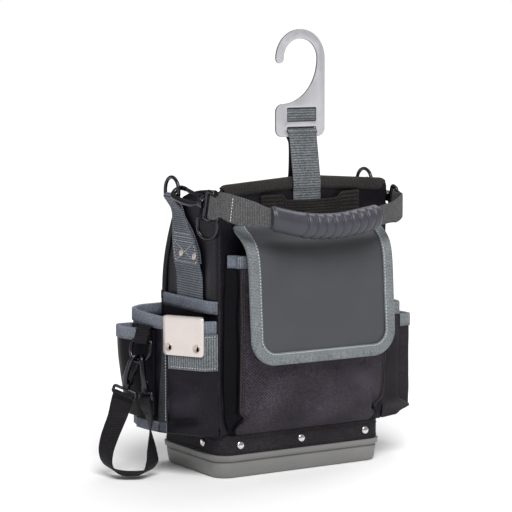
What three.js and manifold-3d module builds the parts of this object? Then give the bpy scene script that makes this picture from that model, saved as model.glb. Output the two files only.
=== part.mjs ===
// Open-top tool pouch on a moulded tray: a tall centre panel with a hanging hook, an open bay behind it,
// a flapped bellows pocket in front, pockets on both sides and a carry handle clipped to two D-rings.
// Millimetres, +Z up, the front faces -Y. The origin is the centre of the tray's underside.

import * as THREE from "three";
import Module from "manifold-3d";

const kernel = await Module();
kernel.setup();

// Driving dimensions
const GAP = 0.35;
const CLOTH = 2.2;
const WEB = 1.8;
const BINDING_LEG = 1.1;

const TRAY = { top: 27, floor: 3.5, innerX: 110, innerY: 64, innerCorner: 18 };
const SKIRT = { halfX: 114, halfY: 68.6, corner: 20, thickness: 2.6, foot: 27.35, top: 50 };
const PANEL = {
  foot: 50.35, peak: 345, shoulder: 337, corner: 9, thickness: 3.6, frontFoot: -66.5, lean: 5.5 };
const BAY = { halfX: 113, front: -65, rear: 69, corner: 8, rim: 205, rise: 133, flare: 11.5, tuck: 1.5 };
const POUCH = { foot: 50.6, rim: 258 };
const FLAP = { halfX: 97, corner: 30, thickness: 2.4, bindingDepth: 13 };
const PLATE_POCKET = { foot: 51, rim: 186.2, floor: 2.2, level: 10, rise: 0.05 };
const OUTER_POCKET = { foot: 66, rim: 169 };
const RIGHT_POCKET = { foot: 51, rim: 187, floor: 2.2 };
const RIGHT_OUTER = { foot: 59, rim: 169, floor: 2.2 };
const STRAP = { width: 57, neck: 19, foot: 122, centreY: -4, topY: 4.8 };
const RING = { x: 134.5, y: 2, bar: 322, half: 15.3, leg: 7, wire: 2.2 };
const GRIP = { from: -79.5, to: 62, tall: 14.4, deep: 12.2, ribs: 7, bore: 23.2 };
const HANG = { y: -57.5, bar: 302, half: 13.5, leg: 11, wire: 2, out: 8, turn: 24 };
const CLIP = {
  width: 53, foot: 143.4, top: 188.3, thick: 1.5, corner: 4, out: 2.2, centre: 28.4, backWidth: 47, backAside: -2.6 };
const TAPE = { half: 13.5, leg: 11, wire: 2, bar: 157.5, tilt: 15 };
const SNAP = { bar: 2.6, bow: 7.5, nose: -5, collar: 6, pivotX: -5.2, pivotY: -34.5, gate: 1.9, eyeBar: -62 };
const HOOK_PLATE = { x: -6.8, y: -73.2, thickness: 3 };
const HOOK = { left: -35, right: 32, foot: 390.7, bend: 9, slotHalf: 19.8 };
const HOOK_BOW = { x: -1.4, z: 480, inner: 22.7, outer: 33.4 };

// Tray outline by height
const TRAY_SECTIONS = [
  { z: 0, halfX: 110, halfY: 63.5, corner: 17 },
  { z: 2.5, halfX: 112, halfY: 65.5, corner: 18 },
  { z: 18.5, halfX: 114, halfY: 68.3, corner: 20 },
  { z: 19.5, halfX: 113, halfY: 67.3, corner: 19.5 },
  { z: 20.5, halfX: 115.6, halfY: 70, corner: 21 },
  { z: 27, halfX: 116, halfY: 70.4, corner: 21 },
];

// Front pocket: half of its plan from the seam to the middle, and how far it stands out by height
const POUCH_PLAN = [
  { x: 109.5, depth: 2.6, footX: 100 },
  { x: 98.5, depth: 12, footX: 97 },
  { x: 102, depth: 23, footX: 93.5 },
  { x: 70, depth: 28.5, footX: 66 },
  { x: 35, depth: 31, footX: 34 },
  { x: 0, depth: 32, footX: 0 },
];
const POUCH_RISE = [
  { z: 50.6, out: 0 },
  { z: 60, out: 0.42 },
  { z: 74, out: 0.84 },
  { z: 95, out: 1 },
  { z: 150, out: 1.05 },
  { z: 210, out: 0.98 },
  { z: 258, out: 0.8 },
];

// Flap: outer face from the hinge to the lower edge
const FLAP_CURVE = [
  { y: -73.3, z: 293 },
  { y: -78, z: 287 },
  { y: -90, z: 280 },
  { y: -102, z: 268 },
  { y: -107.8, z: 248 },
  { y: -111.5, z: 200 },
  { y: -116, z: 137 },
];

// Strip on the centre panel: loop, pocket and loop, by width, standing out and top edge
const ORGANISER = [
  { x: -62, off: 2.6, top: 325 },
  { x: -58, off: 5.6, top: 326 },
  { x: -46, off: 9.8, top: 326 },
  { x: -34, off: 6, top: 326 },
  { x: -29, off: 5.2, top: 319 },
  { x: 6, off: 6.4, top: 318 },
  { x: 41, off: 5.2, top: 319 },
  { x: 46, off: 6, top: 326 },
  { x: 58, off: 9.8, top: 327 },
  { x: 70, off: 5.6, top: 327 },
  { x: 74, off: 2.6, top: 326 },
];

// Side pockets in plan, each run with the pouch on its left
const PLATE_PLAN = [
  { x: -112, y: 69 },
  { x: -140, y: 68 },
  { x: -157, y: 57 },
  { x: -163, y: 36 },
  { x: -162.5, y: 12 },
  { x: -157, y: -16 },
  { x: -131, y: -62 },
  { x: -113.8, y: -67 },
];
const OUTER_PLAN = [
  { x: -151, y: 64.2, flatX: -152.5, flatY: 63.4 },
  { x: -174, y: 66, flatX: -163, flatY: 57 },
  { x: -180, y: 46, flatX: -167.2, flatY: 40 },
  { x: -175, y: 22, flatX: -166.8, flatY: 14 },
  { x: -162.3, y: -4, flatX: -162, flatY: -4.6 },
];
const RIGHT_PLAN = [
  { x: 113.8, y: -66 },
  { x: 142, y: -60.5 },
  { x: 149, y: -49 },
  { x: 149.5, y: 40 },
  { x: 139, y: 60 },
  { x: 112, y: 69 },
];
const RIGHT_OUTER_PLAN = [
  { x: 149.8, y: -46.5 },
  { x: 168, y: -46 },
  { x: 173, y: -39 },
  { x: 173, y: 27 },
  { x: 167, y: 33 },
  { x: 149.9, y: 34 },
];

// Handle centre line from left to right, with the web's width
const HANDLE_CURVE = [
  { x: -123.4, y: -86, z: 318.1, width: 30 },
  { x: -118.5, y: -98, z: 315.4, width: 33 },
  { x: -109, y: -109.5, z: 311.6, width: 32 },
  { x: -96, y: -118, z: 308.4, width: 28 },
  { x: -82, y: -123, z: 304.9, width: 22 },
  { x: -42, y: -129.5, z: 295.2, width: 22 },
  { x: 0, y: -131.5, z: 292.4, width: 22 },
  { x: 42, y: -129.5, z: 296.8, width: 22 },
  { x: 82, y: -123, z: 302.1, width: 23 },
  { x: 96, y: -118, z: 303.7, width: 27 },
  { x: 109, y: -109.5, z: 307, width: 28 },
  { x: 118.5, y: -98, z: 308.5, width: 27 },
  { x: 123.4, y: -86, z: 309.3, width: 25.5 },
];

// Tape strap, seen along the facing direction: across, height, outward and turn of its width
const TAPE_CURVE = [
  { across: -24, z: 73, out: 3, turn: 15 },
  { across: -29, z: 60, out: 5, turn: 22 },
  { across: -34.5, z: 45, out: 8, turn: 32 },
  { across: -38, z: 29, out: 10, turn: 45 },
  { across: -35.5, z: 15.5, out: 11, turn: 60 },
  { across: -24, z: 7.5, out: 12, turn: 78 },
  { across: -8, z: 5.5, out: 12, turn: 95 },
  { across: 8, z: 8, out: 12, turn: 112 },
  { across: 15, z: 18, out: 11, turn: 122 },
  { across: 14.5, z: 34, out: 10, turn: 110 },
  { across: 13, z: 52, out: 8, turn: 90 },
  { across: 12, z: 68, out: 5, turn: 70 },
];

// Materials
const finish = (name, color, roughness, metalness = 0) =>
  new THREE.MeshStandardMaterial({ name, color, roughness, metalness });
const BLACK_CLOTH = finish("black_nylon", 0x232026, 0.85);
const BLACK_WEB = finish("black_webbing", 0x1e1c20, 0.9);
const GREY_WEB = finish("grey_webbing", 0x697078, 0.85);
const FLAP_CLOTH = finish("coated_cloth", 0x4b4e52, 0.7);
const TRAY_PLASTIC = finish("grey_plastic", 0x737676, 0.6);
const GRIP_RUBBER = finish("grip_rubber", 0x34343e, 0.55);
const STEEL = finish("steel", 0xb9bac0, 0.3, 1);
const BRIGHT = finish("bright_plate", 0xe1d7d2, 0.35, 0.8);
const GUNMETAL = finish("gunmetal", 0x2a292e, 0.4, 0.9);

// Small helpers
const v2 = (x, y) => new THREE.Vector2(x, y);
const v3 = (x, y, z) => new THREE.Vector3(x, y, z);
const { lerp, clamp, smoothstep, degToRad } = THREE.MathUtils;
const range = (count, from = 0, to = 1) =>
  Array.from({ length: count + 1 }, (_, i) => lerp(from, to, i / count));

/** Value of a table at a running index, straight between its rows. */
function rowAt(table, index, key) {
  const i = clamp(Math.floor(index), 0, table.length - 2);
  return lerp(table[i][key], table[i + 1][key], index - i);
}

/** Running index at which a rising column of a table takes a value. */
function indexAt(table, key, value) {
  const past = table.findIndex((row) => row[key] > value);
  const i = past < 0 ? table.length - 2 : Math.max(past - 1, 0);
  return i + (value - table[i][key]) / (table[i + 1][key] - table[i][key]);
}

// Solids
/** Closed body from points and triangles, turned so that its faces look outward. */
function body(position, index) {
  const at = (i) => v3(position[3 * i], position[3 * i + 1], position[3 * i + 2]);
  let volume = 0;
  for (let i = 0; i < index.length; i += 3) {
    volume += at(index[i]).dot(at(index[i + 1]).cross(at(index[i + 2])));
  }
  const faces = volume < 0 ? [...index].reverse() : index;
  const geometry = new THREE.BufferGeometry();
  geometry.setAttribute("position", new THREE.Float32BufferAttribute(position, 3));
  geometry.setIndex(faces);
  return geometry;
}

/** Triangles of an outline, turned the same way as the outline. */
function capOf(outline) {
  const turn = Math.sign(THREE.ShapeUtils.area(outline));
  return THREE.ShapeUtils.triangulateShape(outline, []).map(([i, j, k]) => {
    const facet = THREE.ShapeUtils.area([outline[i], outline[j], outline[k]]);
    return Math.sign(facet) === turn ? [i, j, k] : [i, k, j];
  });
}

/** Body through equal rings of points, capped at both ends or closed on itself. */
function through(rings, cap = null) {
  const count = rings[0].length;
  const position = rings.flatMap((ring) => ring.flatMap((p) => [p.x, p.y, p.z]));
  const index = [];
  const spans = cap ? rings.length - 1 : rings.length;
  for (let i = 0; i < spans; i += 1) {
    const a = i * count;
    const b = ((i + 1) % rings.length) * count;
    for (let k = 0; k < count; k += 1) {
      const n = (k + 1) % count;
      index.push(a + k, a + n, b + n, a + k, b + n, b + k);
    }
  }
  if (cap) {
    const last = (rings.length - 1) * count;
    cap.forEach(([i, j, k]) => index.push(i, k, j, last + i, last + j, last + k));
  }
  return body(position, index);
}

/** Stations along points: `across` is the given normal, `up` stands square to it and to the path. */
function stations(points, normals, closed = false) {
  const count = points.length;
  return points.map((at, i) => {
    const before = closed ? points[(i + count - 1) % count] : points[Math.max(i - 1, 0)];
    const after = closed ? points[(i + 1) % count] : points[Math.min(i + 1, count - 1)];
    const normal = Array.isArray(normals) ? normals[i] : normals;
    const sides = [at.clone().sub(before), after.clone().sub(at)]
      .filter((step) => step.length() > 1e-6)
      .map((step) => normal.clone().cross(step).normalize());
    const up = sides.reduce((sum, side) => sum.add(side), v3(0, 0, 0)).normalize();
    const mitre = Math.min(1 / Math.max(up.dot(sides[0]), 0.5), 1.6);
    return { at, across: normal, up: up.multiplyScalar(mitre) };
  });
}

/** Sweeps an outline along stations; `size` scales it across and up at each one. */
function sweep(outline, path, { closed = false, size = () => [1, 1] } = {}) {
  const rings = path.map(({ at, across, up }, i) => {
    const [wide, high] = size(i);
    return outline.map((p) =>
      at.clone().addScaledVector(across, p.x * wide).addScaledVector(up, p.y * high));
  });
  return through(rings, closed ? null : capOf(outline));
}

const round = (radius, sides) =>
  range(sides - 1, 0, sides - 1).map((i) => {
    const a = (2 * Math.PI * (i + 0.5)) / sides;
    return v2(radius * Math.cos(a), radius * Math.sin(a));
  });
const oblong = (width, height) => [
  v2(-width / 2, -height / 2), v2(width / 2, -height / 2),
  v2(width / 2, height / 2), v2(-width / 2, height / 2)];

/** Flat strap along points; `normals` gives the direction of its width. */
function strap(points, normals, widths, thickness = WEB) {
  const size = (i) => [Array.isArray(widths) ? widths[i] : widths, 1];
  return sweep(oblong(1, thickness), stations(points, normals), { size });
}

/** Outward normal of a surface, lengthened at a fold so that set-off faces keep their distance. */
function normalOf(surface, u, v, reach = 1e-3) {
  const at = surface(u, v);
  const rise = surface(u, v + reach).sub(surface(u, v - reach));
  const before = at.clone().sub(surface(u - reach, v)).cross(rise).normalize();
  const after = surface(u + reach, v).sub(at).cross(rise).normalize();
  const middle = before.clone().add(after).normalize();
  return middle.divideScalar(Math.max(middle.dot(before), 0.6));
}

/** Cloth wall between a surface and the same surface set in by the thickness. */
function wall(surface, us, vs, thickness) {
  const rings = us.map((u) => {
    const outer = vs.map((v) => surface(u, v));
    const inner = vs.map((v, k) => outer[k].clone().addScaledVector(normalOf(surface, u, v), -thickness));
    return [...outer, ...inner.reverse()];
  });
  const cap = [];
  for (let k = 0; k < vs.length - 1; k += 1) {
    const far = 2 * vs.length - 1 - k;
    cap.push([k, k + 1, far - 1], [k, far - 1, far]);
  }
  return through(rings, cap);
}

/** Binding tape folded over an edge of a wall; `side` says on which hand of the run the edge is free. */
function binding(surface, edge, thickness, { depth, side = 1, slack = 0 }) {
  const inner = thickness / 2 + GAP + slack;
  const outer = inner + BINDING_LEG;
  const lip = GAP + BINDING_LEG;
  const outline = [
    v2(-outer, -depth), v2(-inner, -depth), v2(-inner, GAP), v2(inner, GAP),
    v2(inner, -depth), v2(outer, -depth), v2(outer, lip), v2(-outer, lip)];
  const points = edge.map(([u, v]) =>
    surface(u, v).addScaledVector(normalOf(surface, u, v), -thickness / 2));
  const path = edge.map(([u, v], i) => {
    const before = points[Math.max(i - 1, 0)];
    const after = points[Math.min(i + 1, points.length - 1)];
    const across = normalOf(surface, u, v);
    const up = after.clone().sub(before).cross(across).normalize().multiplyScalar(side);
    return { at: points[i], across, up };
  });
  return sweep(outline, path);
}

function roundedOutline({ halfX, halfY, corner }, steps = 4) {
  const centres = [[1, 1], [-1, 1], [-1, -1], [1, -1]];
  return centres.flatMap(([sx, sy], quarter) =>
    range(steps).map((t) => {
      const a = (Math.PI / 2) * (quarter + t);
      return v2(sx * (halfX - corner) + corner * Math.cos(a), sy * (halfY - corner) + corner * Math.sin(a));
    }));
}

const loft = (outlines) =>
  through(outlines.map(({ z, outline }) => outline.map((p) => v3(p.x, p.y, z))), capOf(outlines[0].outline));

function solid(geometry) {
  const source = geometry.index ? geometry.toNonIndexed() : geometry;
  const seen = new Map();
  const points = [];
  const faces = [];
  const place = source.attributes.position;
  for (let i = 0; i < place.count; i += 1) {
    const p = [place.getX(i), place.getY(i), place.getZ(i)];
    const key = p.map((value) => Math.round(value * 1e4)).join();
    if (!seen.has(key)) {
      seen.set(key, points.length / 3);
      points.push(...p);
    }
    faces.push(seen.get(key));
  }
  const triVerts = [];
  for (let i = 0; i < faces.length; i += 3) {
    const [a, b, c] = faces.slice(i, i + 3);
    if (a !== b && b !== c && c !== a) triVerts.push(a, b, c);
  }
  return new kernel.Manifold(new kernel.Mesh({
    numProp: 3,
    vertProperties: new Float32Array(points),
    triVerts: new Uint32Array(triVerts),
  }));
}

function geometryOf(manifold) {
  const mesh = manifold.getMesh();
  const geometry = new THREE.BufferGeometry();
  geometry.setAttribute("position", new THREE.Float32BufferAttribute(mesh.vertProperties, 3));
  geometry.setIndex(Array.from(mesh.triVerts));
  return geometry;
}

const join = (...pieces) => geometryOf(kernel.Manifold.union(pieces.map(solid)));
const cut = (whole, ...tools) =>
  geometryOf(tools.reduce((rest, tool) => rest.subtract(solid(tool)), solid(whole)));

/** Places a geometry whose own X, Y, Z run along the given directions. */
function placed(geometry, at, xDir, yDir) {
  const zDir = xDir.clone().cross(yDir);
  return geometry.clone().applyMatrix4(new THREE.Matrix4().makeBasis(xDir, yDir, zDir).setPosition(at));
}

const pouch = new THREE.Group();
pouch.name = "tool_pouch";
function add(name, geometry, material) {
  const mesh = new THREE.Mesh(geometry, material);
  mesh.name = name;
  pouch.add(mesh);
}

// Tray and skirt
const trayShell = loft(TRAY_SECTIONS.map((row) => ({ z: row.z, outline: roundedOutline(row) })));
const trayInside = roundedOutline({ halfX: TRAY.innerX, halfY: TRAY.innerY, corner: TRAY.innerCorner });
const trayHollow = loft([TRAY.floor, TRAY.top + 2].map((z) => ({ z, outline: trayInside })));
add("base_tray", cut(trayShell, trayHollow), TRAY_PLASTIC);

const skirtLevels = (row, from, to) => loft([from, to].map((z) => ({ z, outline: roundedOutline(row) })));
const skirtInside = {
  halfX: SKIRT.halfX - SKIRT.thickness,
  halfY: SKIRT.halfY - SKIRT.thickness,
  corner: SKIRT.corner - SKIRT.thickness,
};
add("skirt", cut(
  skirtLevels(SKIRT, SKIRT.foot, SKIRT.top),
  skirtLevels(skirtInside, SKIRT.foot - 2, SKIRT.top + 2)), BLACK_CLOTH);

/** Domed rivet head whose flat back faces away from `facing`. */
function rivet(name, at, facing, radius, material = STEEL) {
  const profile = [v2(0, 0), v2(radius, 0), v2(radius, 0.5), v2(radius * 0.72, 1.5), v2(0, 2)];
  const head = new THREE.LatheGeometry(profile, 9);
  const turn = new THREE.Quaternion().setFromUnitVectors(v3(0, 1, 0), facing.clone().normalize());
  head.applyQuaternion(turn).translate(at.x, at.y, at.z);
  add(name, head, material);
}
[-86, -2.5, 88].forEach((x, i) =>
  rivet(`skirt_rivet_front_${i + 1}`, v3(x, -SKIRT.halfY - GAP, 38.5), v3(0, -1, 0), 4.2));
rivet("skirt_rivet_left", v3(-SKIRT.halfX - GAP, -32, 38.5), v3(-1, 0, 0), 4.2);
rivet("skirt_rivet_right", v3(SKIRT.halfX + GAP, -32, 38.5), v3(1, 0, 0), 4.2);

// Centre panel
const panelFront = (z) => PANEL.frontFoot - PANEL.lean * Math.max((z - PANEL.foot) / 290, 0) ** 1.3;
const bayFlare = (y, z) =>
  BAY.flare * clamp((z - 215) / 115, 0, 1.2) ** 1.5 * (Math.exp(-(((y - 4) / 40) ** 2)) + 0.12);
const bayTuck = (z) => BAY.tuck * (1 - smoothstep(z, 50, 100));
const panelHalf = (z) => BAY.halfX + bayFlare(BAY.front, z) - bayTuck(z);

function panelRim(u) {
  const past = Math.max(Math.abs(u) * BAY.halfX - (BAY.halfX - PANEL.corner), 0);
  const drop = PANEL.corner - Math.sqrt(Math.max(PANEL.corner ** 2 - past ** 2, 0));
  return lerp(PANEL.peak, PANEL.shoulder, Math.abs(u)) - drop;
}
function panelSurface(u, v) {
  const z = lerp(PANEL.foot, panelRim(clamp(u, -1, 1)), v);
  return v3(u * panelHalf(z), panelFront(z), z);
}
const cornerSpread = [0.92, 0.945, 0.968, 0.987, 1];
const panelColumns = [
  ...cornerSpread.map((u) => -u).reverse(), ...range(6, -0.8, 0.8), ...cornerSpread];
const panelRows = [0, 0.1, 0.35, 0.6, 0.8, 0.94, 1];
add("centre_panel", wall(panelSurface, panelColumns, panelRows, PANEL.thickness), BLACK_CLOTH);
const panelEdge = range(10, -0.9, 0.9).map((u) => [u, 1]);
add("centre_panel_binding",
  binding(panelSurface, panelEdge, PANEL.thickness, { depth: 11, side: -1 }), BLACK_WEB);

// Bay wall: right side, back and left side in one wrap
const bayRun = {
  side: BAY.rear - BAY.corner - BAY.front,
  arc: (BAY.corner * Math.PI) / 2,
  back: 2 * (BAY.halfX - BAY.corner),
};
bayRun.total = 2 * (bayRun.side + bayRun.arc) + bayRun.back;

function bayPlan(s, z) {
  const hand = s < bayRun.total / 2 ? 1 : -1;
  const run = Math.min(s, bayRun.total - s);
  if (run <= bayRun.side) {
    const front = panelFront(z) + PANEL.thickness + GAP;
    const y = lerp(front, BAY.rear - BAY.corner, run / bayRun.side);
    return { x: hand * BAY.halfX, y, nx: hand, ny: 0 };
  }
  const centreX = BAY.halfX - BAY.corner;
  const centreY = BAY.rear - BAY.corner;
  const a = Math.min((run - bayRun.side) / BAY.corner, Math.PI / 2);
  const along = Math.max(run - bayRun.side - bayRun.arc, 0);
  const y = centreY + BAY.corner * Math.sin(a);
  const x = hand * (centreX + BAY.corner * Math.cos(a) - along);
  return { x, y, nx: hand * Math.cos(a), ny: Math.sin(a) };
}
function bayPoint(s, z, off = 0) {
  const plan = bayPlan(s, z);
  const out = bayFlare(plan.y, z) - bayTuck(z) + off;
  return v3(plan.x + plan.nx * out, plan.y + plan.ny * out, z);
}
function bayRim(s) {
  const t = clamp(Math.min(s, bayRun.total - s) / bayRun.side, 0, 1);
  return BAY.rim + BAY.rise * Math.sqrt(Math.max(1 - t * t, 0));
}
const baySurface = (s, v) => bayPoint(s, lerp(PANEL.foot, bayRim(s), v));
const bayHalf = [
  ...range(9, 0, Math.PI / 2).map((a) => bayRun.side * Math.sin(a)),
  ...range(3, bayRun.side, bayRun.side + bayRun.arc).slice(1)];
const bayColumns = [...bayHalf, bayRun.total / 2, ...bayHalf.map((s) => bayRun.total - s).reverse()];
add("bay_wall", wall(baySurface, bayColumns, [0, 0.3, 0.55, 0.72, 0.86, 0.94, 1], CLOTH + 0.3), BLACK_CLOTH);
const bayEdge = bayColumns.slice(1, -1).map((s) => [s, 1]);
add("bay_binding",
  binding(baySurface, bayEdge, CLOTH + 0.3, { depth: 7.5, side: -1, slack: 0.4 }), BLACK_WEB);

/** Point on the left side wall, set off from its outer face. */
const leftSide = (y, z, off) => bayPoint(bayRun.total - (y - BAY.front), z, off);
const wallX = (y, z) => -leftSide(y, z, 0).x;

// Front pocket under the flap; `u` counts plan rows from the middle, left below nought
function pouchSurface(u, v) {
  const z = lerp(POUCH.foot, POUCH.rim, v);
  const row = POUCH_PLAN.length - 1 - Math.abs(u);
  const level = indexAt(POUCH_RISE, "z", z);
  const out = rowAt(POUCH_RISE, level, "out");
  const x = lerp(rowAt(POUCH_PLAN, row, "footX"), rowAt(POUCH_PLAN, row, "x"), Math.min(out, 1));
  const depth = 3.4 + out * (rowAt(POUCH_PLAN, row, "depth") - 2.6);
  return v3(Math.sign(u) * x, panelFront(z) - depth, z);
}
const pouchLast = POUCH_PLAN.length - 1;
const pouchColumns = range(2 * pouchLast, -pouchLast, pouchLast);
const pouchRows = POUCH_RISE.map((row) => (row.z - POUCH.foot) / (POUCH.rim - POUCH.foot));
add("front_pocket", wall(pouchSurface, pouchColumns, pouchRows, CLOTH), BLACK_CLOTH);
const pouchEdge = [0.12 - pouchLast, ...pouchColumns.slice(1, -1), pouchLast - 0.12].map((u) => [u, 1]);
add("front_pocket_binding",
  binding(pouchSurface, pouchEdge, CLOTH, { depth: 12, side: -1, slack: 0.15 }), GREY_WEB);

// Flap
const flapCurve = new THREE.CatmullRomCurve3(FLAP_CURVE.map((row) => v3(0, row.y, row.z)));
const flapLength = flapCurve.getLength();
function flapEnd(x) {
  const past = clamp(Math.abs(x) - (FLAP.halfX - FLAP.corner), 0, FLAP.corner);
  return flapLength - FLAP.corner + Math.sqrt(FLAP.corner ** 2 - past ** 2);
}
/** Flap face at a width and a length down from the hinge. */
function flapPoint(x, s) {
  const t = clamp(s / flapLength, 0, 1);
  const p = flapCurve.getPointAt(t).addScaledVector(flapCurve.getTangentAt(t), s - t * flapLength);
  return v3(x, p.y, p.z);
}
const flapRows = [0, 8, 16, 26, 36, 46, 58, 90, flapLength - FLAP.corner];
const flapLast = flapRows.length;
/** Flap face with `v` counting its rows up from the lower edge. */
function flapSurface(x, v) {
  const level = flapLast - v;
  const even = flapRows[flapLast - 1];
  if (level > flapLast - 1) return flapPoint(x, lerp(even, flapEnd(x), level - flapLast + 1));
  const i = clamp(Math.floor(level), 0, flapLast - 2);
  return flapPoint(x, lerp(flapRows[i], flapRows[i + 1], level - i));
}
const flapTurn = range(5, 0, Math.PI / 2 - 0.12).map((a) => FLAP.halfX - FLAP.corner * (1 - Math.sin(a)));
const flapColumns = [...flapTurn.map((x) => -x).reverse(), ...range(4, -50, 50), ...flapTurn];
add("flap", wall(flapSurface, flapColumns, range(flapLast, 0, flapLast), FLAP.thickness), FLAP_CLOTH);
const flapHalf = flapTurn.at(-1);
/** Flap edge on one side: down from the hinge, then round the corner. */
const flapEdgeHalf = (hand) => [
  ...flapRows.slice(1, -1).map((s) => [hand * flapHalf, s]),
  ...[...flapTurn].reverse().map((x) => [hand * x, flapEnd(x)])];
const flapFace = (x, up) => flapPoint(x, -up);
const flapEdge = [...flapEdgeHalf(-1), [0, flapLength], ...flapEdgeHalf(1).reverse()]
  .map(([x, s]) => [x, -s]);
add("flap_binding",
  binding(flapFace, flapEdge, FLAP.thickness, { depth: FLAP.bindingDepth, slack: 0.3 }), GREY_WEB);

// Organiser on the centre panel: a loop, a pocket and a loop in one strip
function organiserSurface(u, v) {
  const z = lerp(296, rowAt(ORGANISER, clamp(u, 0, 10), "top"), v);
  return v3(rowAt(ORGANISER, u, "x"), panelFront(z) - rowAt(ORGANISER, u, "off"), z);
}
add("panel_organiser", wall(organiserSurface, range(10, 0, 10), range(2), WEB), BLACK_WEB);

// Left side: straps, slot pocket and its band
function slotSurface(u, v) {
  const z = lerp(112, 204, v);
  const y = lerp(50, lerp(-48, -63, smoothstep(z, 190.8, 191.8)), u);
  return leftSide(y, z, 5.2 + 3 * v * Math.sin(Math.PI * clamp(u, 0, 1)));
}
add("slot_pocket", wall(slotSurface, range(8), [0, 0.5, 0.855, 0.868, 1], 2), BLACK_CLOTH);
add("slot_binding", binding(slotSurface, range(8).map((u) => [u, 1]), 2, { depth: 12, side: -1 }), GREY_WEB);

/** Side strap folded over the bar of its D-ring, mirrored by `hand`. */
function sideStrap(hand) {
  const loop = RING.wire + GAP + WEB / 2;
  const inner = range(5, 246, 312).map((z) => ({ off: z < 298 ? 1.7 : 3.4, z }));
  const outer = range(5, 308, 250).map((z) => ({ off: z < 298 ? 4.3 : 6, z }));
  const lower = [242, 234, 222, 180, STRAP.foot].map((z, i) => ({ off: [3.7, 2.1, 1.7, 1.5, 1.5][i], z }));
  const centre = (z) => lerp(STRAP.centreY, STRAP.topY, smoothstep(z, 252, 318));
  const onWall = ({ off, z }) => v3(-hand * (wallX(centre(z), z) + off), centre(z), z);
  const fold = range(8, -0.15 * Math.PI, 1.1 * Math.PI).map((a) =>
    v3(-hand * (RING.x - loop * Math.cos(a)), STRAP.topY, RING.bar + loop * Math.sin(a)));
  const points = [...inner.map(onWall), ...fold, ...outer.map(onWall), ...lower.map(onWall)];
  const widths = points.map((p) => lerp(STRAP.width, STRAP.neck, smoothstep(p.z, 256, 318)));
  return strap(points, v3(0, 1, 0), widths);
}
[["left", 1], ["right", -1]].forEach(([side, hand]) => {
  add(`strap_${side}`, sideStrap(hand), GREY_WEB);
  [[3, 256], [-26, 254.5]].forEach(([y, z], i) => {
    const at = v3(-hand * (wallX(STRAP.centreY, z) + 4.3 + WEB / 2 + GAP + 0.5), y, z);
    rivet(`strap_${side}_rivet_${i + 1}`, at, v3(-hand, 0, 0.1), 4);
  });
});

// D-rings
/** D-shaped wire: a bar from -half to half, legs and a half round, in a plane given by two directions. */
function dRing({ half, leg, wire }, at, along, away, sides = 6) {
  const bend = 3;
  const flat = [
    ...range(2, -half + bend, half - bend).map((a) => [a, 0]),
    [half - 0.9, 0.9], [half, bend],
    ...range(9, 0, Math.PI).map((a) => [half * Math.cos(a), leg + half * Math.sin(a)]),
    [-half, bend], [-half + 0.9, 0.9]];
  const points = flat.map(([a, b]) => at.clone().addScaledVector(along, a).addScaledVector(away, b));
  const normal = along.clone().cross(away);
  return sweep(round(wire, sides), stations(points, normal, true), { closed: true });
}
[["left", -1], ["right", 1]].forEach(([side, hand]) => {
  const at = v3(hand * RING.x, RING.y, RING.bar);
  add(`ring_${side}`, dRing(RING, at, v3(0, 1, 0), v3(0, 0, 1)), GUNMETAL);
});

// Ring hanging free from a web tab at the front of the left side
const hangAlong = v3(Math.sin(degToRad(HANG.turn)), -Math.cos(degToRad(HANG.turn)), 0);
const hangOut = v3(-Math.cos(degToRad(HANG.turn)), -Math.sin(degToRad(HANG.turn)), 0);
const hangBar = v3(-(wallX(HANG.y, HANG.bar) + HANG.out), HANG.y, HANG.bar);
add("hang_ring", dRing(HANG, hangBar, hangAlong, v3(0, 0, -1)), GUNMETAL);
const hangLoop = HANG.wire + GAP + WEB / 2;
const hangPath = [
  ...[[-1.3, 313.5], [-1.6, 310]].map(([off, z]) => hangBar.clone().setZ(z).addScaledVector(hangOut, off)),
  ...range(8, 1.1 * Math.PI, -0.1 * Math.PI).map((a) => hangBar.clone()
    .addScaledVector(hangOut, hangLoop * Math.cos(a))
    .add(v3(0, 0, -hangLoop * Math.sin(a)))),
  ...[[1.3, 310], [1.3, 313.5]].map(([off, z]) => hangBar.clone().setZ(z).addScaledVector(hangOut, off)),
];
add("hang_tab", strap(hangPath, hangAlong, 19), BLACK_WEB);

// Side pockets: a box shell with a floor, open at the top and toward the pouch
/** Points of a plan set inward (to the left of the run) by a distance. */
function insetPlan(plan, distance) {
  return plan.map((row, i) => {
    const before = plan[Math.max(i - 1, 0)];
    const after = plan[Math.min(i + 1, plan.length - 1)];
    const sides = [[before, row], [row, after]]
      .filter(([a, b]) => a !== b)
      .map(([a, b]) => v2(a.y - b.y, b.x - a.x).normalize());
    const side = sides.reduce((sum, n) => sum.add(n), v2(0, 0)).normalize();
    const mitre = distance / side.dot(sides[0]);
    return v2(row.x + side.x * mitre, row.y + side.y * mitre);
  });
}
function boxPocket(plan, { foot, rim, floor }, backX) {
  const outline = plan.map((row) => v2(row.x, row.y));
  const inner = insetPlan(plan, CLOTH);
  const open = [...inner, v2(backX, inner.at(-1).y), v2(backX, inner[0].y)];
  const shell = loft([foot, rim].map((z) => ({ z, outline })));
  const hollow = loft([foot + floor, rim + 2].map((z) => ({ z, outline: open })));
  return cut(shell, hollow);
}
const planSurface = (plan, { foot, rim }) => (u, v) =>
  v3(rowAt(plan, u, "x"), rowAt(plan, u, "y"), lerp(foot, rim, v));
const rimOf = (plan, from, to) => {
  const inside = plan.map((_, i) => i).filter((i) => i > from && i < to);
  return [from, ...inside, to].map((u) => [u, 1]);
};

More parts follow.
